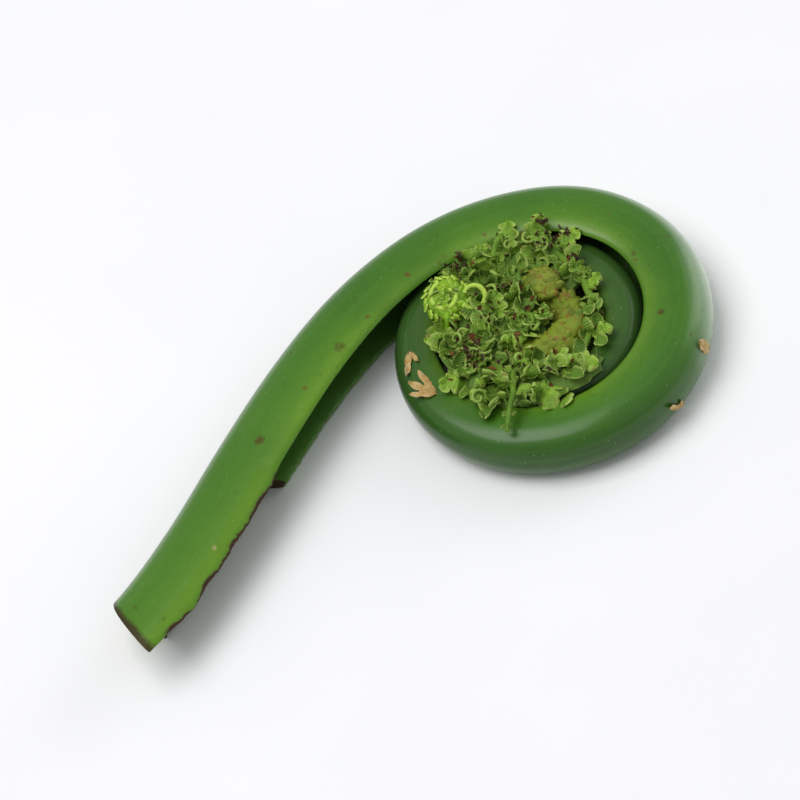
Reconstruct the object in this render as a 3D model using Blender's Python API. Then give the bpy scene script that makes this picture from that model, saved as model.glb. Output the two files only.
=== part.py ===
"""Ostrich fern fiddlehead, picked and cut, lying flat on the surface below it.

The stalk is one tapered stem with an open channel along its inner side: a gently
curved stipe that ends in an oblique knife cut, then a coil of nearly two turns.
The coiled tip of the frond, the leaflets on its two faces, one pale young pinna
and a few papery scales lie in and on that coil, each as a solid of its own.

Lengths are millimetres and angles degrees. Every mesh is scaled to metres when
its object is made. The coil lies in the XY plane, and turns clockwise seen from
above, so the outside of the bend is on the left of the way along the stalk.
"""

import math
import random

import bmesh
import bpy
import numpy as np
from mathutils import Matrix, Vector

OBJECT_NAME = "ostrich_fern_fiddlehead"
METRES_PER_MM = 0.001
STALK_SEED = 14
UPPER_SEED = 15
LOWER_SEED = 13

# Stipe: a cubic curve from the knife cut to the start of the coil
STIPE_START = (0.0, 0.31)
STIPE_HEADING = 34.4
STIPE_START_REACH = 19.55
STIPE_END_REACH = 25.34

# Outer turn of the coil, whose radius shrinks slowly at first
COIL_CENTRE = (55.55, 22.23)
COIL_START_ANGLE = 80.0
COIL_RADIUS = 16.96
COIL_PITCH = 0.72
COIL_PITCH_GROWTH = 1.64

# Inner turns, which nest in the channel of the outer turn and tighten steadily
INNER_CENTRE = (54.6, 21.2)
INNER_RADIUS = 13.4
INNER_DECAY = 0.86
NESTING_TURNS = (0.75, 1.10)
STALK_TURNS = 1.90
TIP_TURNS = (1.95, 2.78)

# How finely the axis is laid out: a lead before the cut, steps of the stipe and of the coil
STIPE_LEAD = 0.06
STIPE_STEPS = 80
COIL_STEPS = 400
WAY_REACH = 0.3

# Stalk size along its length: (distance from the cut, value)
HALF_DEPTH = ((-6, 4.64), (0, 4.62), (54, 4.26), (97, 3.71), (124, 3.16), (150, 2.47), (190, 2.2),
              (235, 1.45))
HALF_WIDTH = ((-6, 3.95), (0, 4.00), (40, 4.36), (66, 4.36), (97, 4.11), (124, 3.60), (150, 2.80),
              (190, 2.4), (235, 1.6))
AXIS_HEIGHT = ((-6, 4.0), (0, 4.0), (8, 4.02), (40, 4.5), (70, 4.28), (95, 4.2), (116, 3.74), (140, 3.7),
               (165, 4.1), (200, 4.2), (235, 4.4))

# Half of the stalk's section in half depths and half widths, from the back round the lip to the channel floor
SECTION_HALF = ((-1.0, 0.0), (-0.90, 0.46), (-0.58, 0.82), (-0.08, 0.99), (0.55, 1.0), (1.0, 0.93),
                (1.10, 0.78), (0.62, 0.60), (0.12, 0.44), (-0.08, 0.0))
SECTION_WALL_START = 3
STATION_STEP = 0.66

# How far inwards the lower wall reaches beyond the tear, in half depths: (distance from the cut, value)
LOWER_LIP = ((25, 0.62), (55, 0.68), (85, 1.2))

# Knife cut and the torn lower lip beside it
CUT_SLANT_TO_LIP = 0.31
CUT_SLANT_TO_TOP = 0.55
CUT_CLEAR_LENGTH = 4.3
TEAR_LENGTH = 24.6
TEAR_STEP = 1.0
TEAR_DEPTH = 0.08
TEAR_RAGGED = 0.08
TEAR_BULGE = 0.10
TEAR_MIDDLE = 0.70

# Coiled tip of the frond, which carries on from the stalk and climbs towards the upper face
TIP_HALF_DEPTH = 2.4
TIP_HALF_WIDTH = 2.45
TIP_HEIGHT = (4.6, 6.35)
TIP_CLIMB = 2.2
TIP_ENDS = (0.06, 0.95)
TIP_BLUNTNESS = 0.35
TIP_KNOBS = 17
TIP_RINGS_A_KNOB = 3
TIP_SIDES = 12
TIP_CLEARANCE_SIDES = 10
TIP_GROOVE = 0.13
TIP_WAY_REACH = 0.01

# Leaflets: blades with cut edges, arched along the rib and folded down at the sides
LEAF_THICKNESS = 0.6
LEAF_ARCH = 0.10
LEAF_FOLD = 0.14
LEAF_FOOT = 0.16
LEAF_WIDEST = 0.8
LOBE_CUT = 0.62

# Small coiled pinnae
CURL_STEPS_A_TURN = 9
CURL_TIGHTENING = 0.80
CURL_TAPER = 0.3
CURL_KNOB = 0.09

# Leaflets by rule: the angle from each to the next, and the ranges of their draws
GOLDEN_ANGLE = math.radians(137.5)
LEAFLET_LENGTH = (3.0, 4.4)
LEAFLET_BROADNESS = (0.62, 0.82)
LEAFLET_YAW = 70
LEAFLET_ROLL = 25

# Upper face: low core, ribs (three control points, root and tip radius), coiled pinnae and single leaves
UPPER_CORE = (((49.6, 21.5, 6.6), (6.2, 10.2, 1.0)), ((55.5, 31.0, 6.9), (6.8, 3.6, 0.95)),
              ((54.0, 13.6, 6.7), (6.6, 3.4, 0.95)))
UPPER_RIBS = (
    (((52.0, 28.6, 7.4), (52.9, 33.0, 9.6), (54.9, 35.0, 8.2)), (0.72, 0.5)),
    (((50.4, 27.6, 7.2), (49.6, 31.6, 9.4), (50.5, 33.6, 8.0)), (0.6, 0.42)),
    (((49.0, 19.8, 7.4), (49.4, 23.6, 9.6), (50.2, 26.6, 8.0)), (0.6, 0.42)),
    (((51.0, 16.4, 7.4), (50.2, 11.5, 10.4), (47.3, 6.5, 8.3)), (0.6, 0.4)),
    (((59.6, 31.6, 7.3), (65.6, 23.0, 7.8), (57.6, 13.4, 7.1)), (0.75, 0.6)),
    (((47.0, 20.5, 7.2), (44.2, 24.2, 8.6), (43.2, 22.0, 7.4)), (0.55, 0.42)),
    (((50.0, 13.4, 7.2), (46.6, 11.6, 8.4), (45.4, 13.6, 7.5)), (0.55, 0.42)),
)
UPPER_CURLS = (
    ((56.0, 27.6, 8.3), 1.55, 0.54, 1.1, 40, 20), ((53.7, 21.9, 8.2), 1.7, 0.5, 1.1, 200, -15),
    ((62.4, 26.3, 8.1), 1.1, 0.38, 1.0, 90, 30), ((61.4, 19.6, 7.8), 1.1, 0.38, 1.0, 10, 30),
    ((46.2, 19.4, 7.8), 1.4, 0.46, 1.1, 120, -20), ((49.6, 30.6, 7.9), 1.3, 0.44, 1.1, 300, 25),
    ((58.8, 32.2, 8.2), 1.3, 0.44, 1.1, 250, 15), ((56.9, 12.6, 7.7), 1.3, 0.44, 1.1, 330, -15),
)
UPPER_LEAVES = (
    ((51.6, 19.6, 7.6), 4.8, 3.8, -75, 22, 8), ((54.6, 17.2, 7.5), 4.8, 3.8, -60, 20, -12),
    ((49.0, 15.0, 7.4), 4.6, 2.6, 200, 8, 10), ((53.4, 13.0, 7.4), 4.6, 3.4, -95, 14, 10),
    ((56.6, 14.2, 7.4), 4.2, 3.2, -30, 18, -8), ((54.6, 32.4, 7.8), 4.6, 3.2, 70, 20, -10),
    ((57.2, 32.4, 7.8), 4.4, 3.0, 40, 26, 10), ((60.0, 30.8, 7.6), 4.0, 2.8, 15, 20, 10),
    ((45.8, 22.6, 7.2), 4.2, 3.0, 165, 22, 10), ((45.6, 17.2, 7.2), 4.0, 3.0, 190, 20, -10),
    ((61.9, 23.4, 7.6), 2.6, 2.0, 30, 30, 0), ((60.4, 17.0, 7.4), 3.0, 2.4, -10, 24, 0),
)
UPPER_FILL_CENTRE = (51.4, 22.2)
UPPER_FILL_RADII = (7.2, 11.4)
UPPER_FILL_COUNT = 44
UPPER_FILL_HEIGHT = 7.25
UPPER_FILL_TILT = (12, 48)
TIP_BARE = (55.6, 62.5, 15.5, 30.0)

# Lower face
LOWER_CORE = ((54.4, 21.4, 2.4), (7.2, 7.6, 1.25))
LOWER_FILL_CENTRE = (54.6, 21.4)
LOWER_FILL_RADII = (7.4, 7.8)
LOWER_FILL_COUNT = 32
LOWER_FILL_HEIGHT = 1.55
LOWER_FILL_TILT = (-8, 8)

# Young pinna: core, stalk, coils (centre, radius, thickness, turns, lean) and teeth round its edge
YOUNG_CORE = ((46.2, 28.0, 9.0), (2.4, 2.4, 0.95))
YOUNG_STALK = (((46.0, 26.6, 8.9), (45.2, 25.2, 8.8), (44.6, 24.0, 7.3)), (0.6, 0.5))
YOUNG_CURLS = (((46.2, 28.0, 9.5), 2.1, 0.62, 1.1, 100, -10), ((49.2, 27.1, 9.1), 1.6, 0.42, 0.85, 200, -20))
YOUNG_TEETH = 9
YOUNG_TOOTH_LENGTH = 1.9
YOUNG_TOOTH_BROADNESS = 0.8
YOUNG_TOOTH_FOOT = 0.6
YOUNG_TOOTH_TILT = 14
YOUNG_ROOM = 0.9
YOUNG_SIDE_ROOM = 1.0

# Papery scales: distance along the stalk, angle round it, length, width and yaw
PAPER_SCALES = ((149.0, 84.0, 3.8, 1.3, 170.0), (141.0, 98.0, 4.4, 2.4, 20.0),
                (105.0, -4.0, 3.0, 1.6, -75.0), (111.0, -26.0, 3.6, 1.1, -50.0))
SCALE_GAP = 0.15

# How sharply the skin bends: along and round the outside of the coil, and round its flatter top
BACK_BEND_ALONG = 0.048
BACK_BEND_ROUND = 0.20
TOP_BEND_ROUND = 0.10

# Skins: linear colour and roughness
STALK_GREEN = ((0.070, 0.190, 0.015), 0.3)
LEAFLET_GREEN = ((0.220, 0.380, 0.045), 0.55)
TIP_OLIVE = ((0.230, 0.330, 0.025), 0.5)
YOUNG_LIME = ((0.260, 0.480, 0.010), 0.45)
SCALE_TAN = ((0.480, 0.330, 0.180), 0.8)
SHARP_ANGLE = 50

# Gap left between solids that touch, and how finely the clearances are stepped
GAP = 0.32
CLEARANCE = 0.42
CLEARANCE_STEP = 0.8
CLEARANCE_TURNS = 1.94
CLEARANCE_OVERLAP = 3.0
NESTING_START = 148.0
STIPE_BESIDE_COIL = 44.0


def smooth(value):
    """Ease from 0 to 1 with flat ends."""
    value = min(max(value, 0.0), 1.0)
    return value * value * (3.0 - 2.0 * value)


def along(table, distance):
    """Read a smooth curve through the (distance, value) pairs of a table."""
    at = np.array([pair[0] for pair in table], dtype=float)
    value = np.array([pair[1] for pair in table], dtype=float)
    slope = np.gradient(value, at)
    distance = min(max(distance, at[0]), at[-1])
    index = int(min(np.searchsorted(at, distance, side="right") - 1, len(at) - 2))
    span = at[index + 1] - at[index]
    part = (distance - at[index]) / span
    rise = value[index + 1] - value[index]
    start = slope[index] * span
    end = slope[index + 1] * span
    curve = 3 * rise - 2 * start - end
    twist = start + end - 2 * rise
    return value[index] + part * (start + part * (curve + part * twist))


def coil_plan(turns):
    """Place of the stalk's axis, seen from above, after a number of turns of the coil."""
    angle = math.radians(COIL_START_ANGLE) - 2 * math.pi * turns
    ray = Vector((math.cos(angle), math.sin(angle)))
    outer = Vector(COIL_CENTRE) + ray * (COIL_RADIUS - COIL_PITCH * turns - COIL_PITCH_GROWTH * turns * turns)
    inner = Vector(INNER_CENTRE) + ray * (INNER_RADIUS * math.exp(-INNER_DECAY * (turns - 1.0)))
    nesting = smooth((turns - NESTING_TURNS[0]) / (NESTING_TURNS[1] - NESTING_TURNS[0]))
    return outer.lerp(inner, nesting)


def stipe_plan(part):
    """Place of the stipe's axis, seen from above, from the cut at 0 to the coil at 1."""
    start = Vector(STIPE_START)
    end = coil_plan(0.0)
    heading = math.radians(STIPE_HEADING)
    coil_way = (coil_plan(0.001) - end).normalized()
    first = start + STIPE_START_REACH * Vector((math.cos(heading), math.sin(heading)))
    second = end - STIPE_END_REACH * coil_way
    rest = 1.0 - part
    near = rest ** 3 * start + 3 * rest * rest * part * first
    return near + 3 * rest * part * part * second + part ** 3 * end


class Axis:
    """A line seen from above that can be read at any distance along it."""

    def __init__(self, points, start_distance=0.0):
        self.points = np.array([tuple(point) for point in points])
        steps = np.linalg.norm(np.diff(self.points, axis=0), axis=1)
        self.distance = start_distance + np.concatenate(([0.0], np.cumsum(steps)))

    @property
    def end(self):
        return float(self.distance[-1])

    def at(self, distance):
        return Vector([float(np.interp(distance, self.distance, self.points[:, axis])) for axis in (0, 1)])

    def way(self, distance):
        back = max(distance - WAY_REACH, float(self.distance[0]))
        forth = min(distance + WAY_REACH, self.end)
        return (self.at(forth) - self.at(back)).normalized()


def stalk_axis(turns=STALK_TURNS):
    """The axis of the whole stalk, with a distance of 0 at the cut."""
    stipe = [stipe_plan(-STIPE_LEAD + (1.0 + STIPE_LEAD) * step / STIPE_STEPS) for step in range(STIPE_STEPS)]
    coil = [coil_plan(turns * step / COIL_STEPS) for step in range(COIL_STEPS + 1)]
    axis = Axis(stipe + coil)
    start = Vector(STIPE_START)
    nearest = min(range(STIPE_STEPS), key=lambda index: (axis.at(axis.distance[index]) - start).length)
    return Axis(stipe + coil, start_distance=-float(axis.distance[nearest]))


def loft(bm, rings, close_end=None):
    """Skin a row of closed rings of equal count and close both ends, flat unless close_end says how."""
    loops = [[bm.verts.new(point) for point in ring] for ring in rings]
    count = len(loops[0])
    for near, far in zip(loops, loops[1:]):
        for index in range(count):
            follow = (index + 1) % count
            bm.faces.new((near[index], near[follow], far[follow], far[index]))
    for loop in (loops[0], loops[-1]):
        if close_end:
            close_end(bm, loop)
        else:
            bm.faces.new(loop)
    bmesh.ops.recalc_face_normals(bm, faces=bm.faces)


def new_mesh(name, bm):
    """Turn a finished bmesh into a mesh data block."""
    mesh = bpy.data.meshes.new(name)
    bm.to_mesh(mesh)
    bm.free()
    return mesh


def close_section(bm, loop):
    """Close an end of the channelled stalk: a fan behind the channel floor, then a strip along each wall."""
    outer = SECTION_WALL_START
    floor = len(SECTION_HALF) - 1
    for half in (loop, [loop[0]] + list(reversed(loop[1:]))):
        for index in range(outer):
            bm.faces.new((half[index], half[index + 1], half[floor]))
        bm.faces.new((half[outer], half[outer + 1], half[floor - 1], half[floor]))
        bm.faces.new((half[outer + 1], half[outer + 2], half[floor - 2], half[floor - 1]))
        bm.faces.new((half[outer + 2], half[outer + 3], half[floor - 2]))


def section_full():
    """The whole section, upper half first, as (inward, upward) pairs."""
    lower = [(inward, -upward) for inward, upward in reversed(SECTION_HALF[1:-1])]
    return list(SECTION_HALF) + lower


def stalk_ring(axis, distance, lower_reach, shear=(0.0, 0.0)):
    """One section of the stalk, placed across its axis and pressed flat where it touches the surface.

    lower_reach is how far inwards the wall below the channel goes, in half depths."""
    depth = along(HALF_DEPTH, distance)
    width = along(HALF_WIDTH, distance)
    centre = axis.at(distance)
    way = axis.way(distance)
    inward_way = Vector((way.y, -way.x))
    ring = []
    for inward, upward in section_full():
        if upward < 0.0:
            bulge = 1.0 - ((abs(upward) - TEAR_MIDDLE) / (1.0 - TEAR_MIDDLE)) ** 2
            inward = min(inward, lower_reach + TEAR_BULGE * bulge)
        shift = -(shear[0] * inward * depth + shear[1] * upward * width)
        place = centre + inward_way * (inward * depth) + way * shift
        height = along(AXIS_HEIGHT, distance) + upward * width
        ring.append(Vector((place.x, place.y, max(height, 0.0))))
    return ring


def build_stalk(axis):
    """The stipe and the rachis of the coil as one channelled solid."""
    rng = random.Random(STALK_SEED)
    rings = [stalk_ring(axis, 0.0, TEAR_DEPTH, (CUT_SLANT_TO_LIP, CUT_SLANT_TO_TOP))]
    distance = CUT_CLEAR_LENGTH
    while distance < TEAR_LENGTH:
        rings.append(stalk_ring(axis, distance, TEAR_DEPTH + rng.uniform(-TEAR_RAGGED, TEAR_RAGGED)))
        distance += STATION_STEP * along(HALF_DEPTH, distance)
    rings.append(stalk_ring(axis, TEAR_LENGTH, TEAR_DEPTH + TEAR_RAGGED))
    distance = TEAR_LENGTH + TEAR_STEP
    while distance < axis.end:
        rings.append(stalk_ring(axis, distance, along(LOWER_LIP, distance)))
        distance += STATION_STEP * along(HALF_DEPTH, distance)
    bm = bmesh.new()
    loft(bm, rings, close_section)
    return new_mesh("stalk", bm)


def round_ring(centre, way, half_depth, half_width, sides):
    """An oval ring across a level line, which is half_depth to each side and half_width up and down."""
    side_way = Vector((way.y, -way.x))
    ring = []
    for index in range(sides):
        angle = 2 * math.pi * index / sides
        side = side_way * (half_depth * math.cos(angle))
        ring.append(Vector((centre.x + side.x, centre.y + side.y, centre.z + half_width * math.sin(angle))))
    return ring


def tube_ring(centre, way, radius, sides):
    """A round ring across a line that runs in any direction."""
    turn = way.to_track_quat("Z", "Y")
    ring = []
    for index in range(sides):
        angle = 2 * math.pi * index / sides
        ring.append(centre + turn @ Vector((radius * math.cos(angle), radius * math.sin(angle), 0.0)))
    return ring


def tube(name, points, radii, sides=6):
    """A tapered tube along a few points in space."""
    points = [Vector(point) for point in points]
    rings = []
    for index, point in enumerate(points):
        way = points[min(index + 1, len(points) - 1)] - points[max(index - 1, 0)]
        rings.append(tube_ring(point, way.normalized(), radii[index], sides))
    bm = bmesh.new()
    loft(bm, rings)
    return new_mesh(name, bm)


def bezier_points(ends, steps):
    """Points along the quadratic curve of three control points."""
    first, bend, last = (Vector(end) for end in ends)
    points = []
    for step in range(steps + 1):
        part = step / steps
        points.append((1 - part) ** 2 * first + 2 * (1 - part) * part * bend + part * part * last)
    return points


def stem(name, ends, root_radius, tip_radius, steps=4, sides=5):
    """A tapered stem along the quadratic curve of three control points."""
    points = bezier_points(ends, steps)
    radii = [root_radius + (tip_radius - root_radius) * step / steps for step in range(steps + 1)]
    return tube(name, points, radii, sides)


def leaf_blade(name, length, width, lobes, place, drape=(0.0, 0.0)):
    """A lobed, arched blade that starts at the origin of its place and points along its X.

    drape gives how sharply it bends down, along and across it, to lie on a rounded surface."""
    outline = [(0.0, LEAF_FOOT)]
    points_a_side = 2 * lobes - 1
    for index in range(points_a_side):
        part = (index + 1.0) / (points_a_side + 1.0)
        reach = math.sin(math.pi * part ** LEAF_WIDEST)
        notch = LOBE_CUT if index % 2 else 1.0
        outline.append((part, reach * notch))
    right = [(part, side) for part, side in outline]
    left = [(part, -side) for part, side in reversed(outline)]
    ring = right + [(1.0, 0.0)] + left
    bm = bmesh.new()
    faces = []
    middle_height = LEAF_ARCH * length
    for level in (0.5, -0.5):
        rise = level * LEAF_THICKNESS
        verts = []
        for part, side in ring:
            x = part * length
            y = side * width / 2
            droop = middle_height * (1.0 - (2.0 * part - 1.0) ** 2) - LEAF_FOLD * width * abs(side)
            droop -= (drape[0] * x * x + drape[1] * y * y) / 2
            verts.append(bm.verts.new((x, y, rise + droop)))
        hub = bm.verts.new((length / 2, 0.0, rise + middle_height - drape[0] * length * length / 8))
        faces.append((verts, hub))
    (top, top_hub), (bottom, bottom_hub) = faces
    count = len(top)
    for index in range(count):
        follow = (index + 1) % count
        bm.faces.new((top_hub, top[follow], top[index]))
        bm.faces.new((bottom_hub, bottom[index], bottom[follow]))
        bm.faces.new((top[index], top[follow], bottom[follow]))
        bm.faces.new((top[index], bottom[follow], bottom[index]))
    bmesh.ops.recalc_face_normals(bm, faces=bm.faces)
    bmesh.ops.transform(bm, matrix=place, verts=bm.verts)
    return new_mesh(name, bm)


def curl(name, centre, radius, tube_radius, turns, turn_about, sides=5):
    """A small coiled pinna: a tapered, knobbly tube that winds inwards."""
    steps = max(6, int(turns * CURL_STEPS_A_TURN))
    points = []
    radii = []
    for step in range(steps + 1):
        part = step / steps
        angle = 2 * math.pi * turns * part
        reach = radius * (1.0 - CURL_TIGHTENING * part)
        flat = Vector((reach * math.cos(angle), reach * math.sin(angle), 0.0))
        points.append(Vector(centre) + turn_about @ flat)
        knob = 1.0 + (CURL_KNOB if step % 2 else -CURL_KNOB)
        radii.append(tube_radius * (1.0 - CURL_TAPER * part) * knob)
    return tube(name, points, radii, sides)


def cushion(name, centre, radii, columns=10, rows=6):
    """A flattened ball, the small core that leaflets stand out of."""
    bm = bmesh.new()
    bmesh.ops.create_uvsphere(bm, u_segments=columns, v_segments=rows, radius=1.0)
    bmesh.ops.scale(bm, vec=Vector(radii), verts=bm.verts)
    bmesh.ops.translate(bm, vec=Vector(centre), verts=bm.verts)
    return new_mesh(name, bm)


def clearance_tube(name, from_distance, to_distance, axis):
    """The stalk without its channel and a little larger, to keep the leaflets off it."""
    upper = SECTION_HALF[:len(SECTION_HALF) - SECTION_WALL_START]
    outline = list(upper) + [(inward, -upward) for inward, upward in reversed(upper[1:])]
    rings = []
    distance = from_distance
    while distance < min(to_distance, axis.end):
        depth = along(HALF_DEPTH, distance)
        width = along(HALF_WIDTH, distance)
        centre = axis.at(distance)
        way = axis.way(distance)
        inward_way = Vector((way.y, -way.x))
        ring = []
        for inward, upward in outline:
            ray = Vector((inward * depth, upward * width))
            ray += ray.normalized() * CLEARANCE
            place = centre + inward_way * ray.x
            ring.append(Vector((place.x, place.y, along(AXIS_HEIGHT, distance) + ray.y)))
        rings.append(ring)
        distance += CLEARANCE_STEP * depth
    bm = bmesh.new()
    loft(bm, rings)
    return new_mesh(name, bm)


def tip_rings(extra, sides, knobbed):
    """Rings of the coiled tip, which carries on where the stalk ends and climbs as it winds."""
    first, last = TIP_TURNS
    steps = TIP_KNOBS * (TIP_RINGS_A_KNOB if knobbed else 1)
    rings = []
    for step in range(steps + 1):
        part = step / steps
        turns = first + (last - first) * part
        plan = coil_plan(turns)
        way = (coil_plan(turns + TIP_WAY_REACH) - coil_plan(turns - TIP_WAY_REACH)).normalized()
        swell = math.sin(math.pi * min(max(part, TIP_ENDS[0]), TIP_ENDS[1])) ** TIP_BLUNTNESS
        knob = 1.0 - TIP_GROOVE * (step % TIP_RINGS_A_KNOB == 0) if knobbed else 1.0
        depth = TIP_HALF_DEPTH * swell * knob + extra
        width = TIP_HALF_WIDTH * swell * knob + extra
        height = TIP_HEIGHT[0] + (TIP_HEIGHT[1] - TIP_HEIGHT[0]) * smooth(part * TIP_CLIMB)
        rings.append(round_ring(Vector((plan.x, plan.y, height)), way, depth, width, sides))
    return rings


def build_tip():
    """The coiled tip of the frond, wrapped in its own pressed leaflets."""
    bm = bmesh.new()
    loft(bm, tip_rings(0.0, TIP_SIDES, True))
    return new_mesh("frond_tip", bm)


def tip_clearance():
    """The coiled tip a little larger."""
    bm = bmesh.new()
    loft(bm, tip_rings(GAP, TIP_CLEARANCE_SIDES, False))
    return new_mesh("tip_clearance", bm)


def combine(name, base, others, operation, solver):
    """One Boolean of a mesh with a collection of others, applied, with the others removed."""
    group = bpy.data.collections.new(name + "_operands")
    bpy.context.scene.collection.children.link(group)
    for mesh in others:
        group.objects.link(bpy.data.objects.new(mesh.name, mesh))
    body = bpy.data.objects.new(name, base)
    bpy.context.scene.collection.objects.link(body)
    modifier = body.modifiers.new("combine", "BOOLEAN")
    modifier.operation = operation
    modifier.operand_type = "COLLECTION"
    modifier.collection = group
    modifier.solver = solver
    depsgraph = bpy.context.evaluated_depsgraph_get()
    result = bpy.data.meshes.new_from_object(body.evaluated_get(depsgraph))
    result.name = name
    for thing in list(group.objects):
        bpy.data.objects.remove(thing, do_unlink=True)
    bpy.data.objects.remove(body, do_unlink=True)
    bpy.data.collections.remove(group)
    return result


def largest_body(mesh):
    """Drop the loose scraps that a cut leaves, and keep the largest body."""
    bm = bmesh.new()
    bm.from_mesh(mesh)
    bmesh.ops.triangulate(bm, faces=bm.faces)
    unseen = set(bm.faces)
    bodies = []
    while unseen:
        body = {unseen.pop()}
        edge_of_body = list(body)
        while edge_of_body:
            face = edge_of_body.pop()
            for edge in face.edges:
                for other in edge.link_faces:
                    if other in unseen:
                        unseen.remove(other)
                        body.add(other)
                        edge_of_body.append(other)
        bodies.append(body)
    keep = max(bodies, key=lambda body: abs(body_volume(body)))
    bmesh.ops.delete(bm, geom=[face for face in bm.faces if face not in keep], context="FACES")
    bm.to_mesh(mesh)
    bm.free()
    return mesh


def body_volume(faces):
    """The signed volume inside a set of triangles."""
    total = 0.0
    for face in faces:
        a, b, c = (vert.co for vert in face.verts)
        total += a.dot(b.cross(c)) / 6.0
    return total


def blade_place(spot, yaw, tilt, roll):
    """Where a blade starts, which way it points, how steeply it rises and how it leans, in degrees."""
    turn = Matrix.Rotation(math.radians(yaw), 4, "Z")
    rise = Matrix.Rotation(math.radians(-tilt), 4, "Y")
    lean = Matrix.Rotation(math.radians(roll), 4, "X")
    return Matrix.Translation(Vector(spot)) @ turn @ rise @ lean


def lean_of(yaw, tilt):
    """The turn of a small coil whose flat face looks up, tipped towards a side."""
    return Matrix.Rotation(math.radians(yaw), 3, "Z") @ Matrix.Rotation(math.radians(tilt), 3, "X")


def fill_leaflets(prefix, centre, radii, count, height, tilts, keep, rng):
    """Leaflets spread evenly over an oval by the golden angle, each turned by a seeded draw."""
    blades = []
    for index in range(count):
        reach = math.sqrt((index + 0.5) / count)
        angle = index * GOLDEN_ANGLE
        spot_x = centre[0] + radii[0] * reach * math.cos(angle)
        spot_y = centre[1] + radii[1] * reach * math.sin(angle)
        yaw = math.degrees(angle) + rng.uniform(-LEAFLET_YAW, LEAFLET_YAW)
        tilt = rng.uniform(*tilts)
        length = rng.uniform(*LEAFLET_LENGTH)
        width = length * rng.uniform(*LEAFLET_BROADNESS)
        roll = rng.uniform(-LEAFLET_ROLL, LEAFLET_ROLL)
        if not keep(spot_x, spot_y):
            continue
        place = blade_place((spot_x, spot_y, height), yaw, tilt, roll)
        blades.append(leaf_blade(f"{prefix}_{index}", length, width, 2, place))
    return blades


def keep_off():
    """Solids a little larger than the stalk and the tip, for cutting the leaflets clear of them."""
    axis = stalk_axis(CLEARANCE_TURNS)
    outer_end = NESTING_START + CLEARANCE_OVERLAP
    return [clearance_tube("outer_turn_clearance", STIPE_BESIDE_COIL, outer_end, axis),
            clearance_tube("inner_turn_clearance", NESTING_START, axis.end, axis), tip_clearance()]


def off_the_tip(spot_x, spot_y):
    """Whether a leaflet's foot is clear of the coiled tip, which has none on its back."""
    return not (TIP_BARE[0] < spot_x < TIP_BARE[1] and TIP_BARE[2] < spot_y < TIP_BARE[3])


def build_upper_pinnae():
    """The leaflets, ribs and coiled pinnae of the upper face, on a low core."""
    rng = random.Random(UPPER_SEED)
    pieces = [cushion(f"upper_core_{index}", *core) for index, core in enumerate(UPPER_CORE)]
    pieces += [stem(f"upper_rib_{index}", ends, *radii) for index, (ends, radii) in enumerate(UPPER_RIBS)]
    pieces += [curl(f"upper_curl_{index}", centre, radius, thick, turns, lean_of(yaw, tilt))
               for index, (centre, radius, thick, turns, yaw, tilt) in enumerate(UPPER_CURLS)]
    pieces += [leaf_blade(f"upper_leaf_{index}", length, width, 3, blade_place(spot, yaw, tilt, roll))
               for index, (spot, length, width, yaw, tilt, roll) in enumerate(UPPER_LEAVES)]
    pieces += fill_leaflets("upper_fill", UPPER_FILL_CENTRE, UPPER_FILL_RADII, UPPER_FILL_COUNT,
                            UPPER_FILL_HEIGHT, UPPER_FILL_TILT, off_the_tip, rng)
    joined = combine("pinnae_upper", pieces[0], pieces[1:], "UNION", "MANIFOLD")
    cutters = keep_off() + young_clearance()
    return largest_body(combine("pinnae_upper", joined, cutters, "DIFFERENCE", "MANIFOLD"))


def build_lower_pinnae():
    """The leaflets of the lower face, which stop short of the surface."""
    rng = random.Random(LOWER_SEED)
    pieces = [cushion("lower_core", *LOWER_CORE)]
    pieces += fill_leaflets("lower_fill", LOWER_FILL_CENTRE, LOWER_FILL_RADII, LOWER_FILL_COUNT,
                            LOWER_FILL_HEIGHT, LOWER_FILL_TILT, lambda spot_x, spot_y: True, rng)
    joined = combine("pinnae_lower", pieces[0], pieces[1:], "UNION", "MANIFOLD")
    return largest_body(combine("pinnae_lower", joined, keep_off(), "DIFFERENCE", "MANIFOLD"))


def young_clearance():
    """Solids a little larger than the young pinna, for cutting the leaflets clear of it."""
    centre, radii = YOUNG_CORE
    reach = [radius + YOUNG_ROOM for radius in radii]
    ends, (root, tip) = YOUNG_STALK
    return [cushion("young_room", centre, (reach[0] + YOUNG_SIDE_ROOM, reach[1] + YOUNG_SIDE_ROOM, reach[2])),
            stem("young_stalk_room", ends, root + GAP, tip + GAP)]


def build_young_pinna():
    """The pale young pinna: a tight coil with toothed edges, an open loop beside it, and its stalk."""
    centre, radii = YOUNG_CORE
    ends, stalk_radii = YOUNG_STALK
    pieces = [cushion("young_core", centre, radii), stem("young_stalk", ends, *stalk_radii)]
    pieces += [curl(f"young_coil_{index}", spot, radius, thick, turns, lean_of(yaw, tilt))
               for index, (spot, radius, thick, turns, yaw, tilt) in enumerate(YOUNG_CURLS)]
    for index in range(YOUNG_TEETH):
        angle = 360.0 * index / YOUNG_TEETH
        ray = Vector((math.cos(math.radians(angle)), math.sin(math.radians(angle)), 0.0))
        spot = Vector(centre) + ray * (radii[0] * YOUNG_TOOTH_FOOT)
        place = blade_place(spot, angle, YOUNG_TOOTH_TILT, 0)
        width = YOUNG_TOOTH_LENGTH * YOUNG_TOOTH_BROADNESS
        pieces.append(leaf_blade(f"young_tooth_{index}", YOUNG_TOOTH_LENGTH, width, 2, place))
    return largest_body(combine("young_pinna", pieces[0], pieces[1:], "UNION", "MANIFOLD"))


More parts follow.
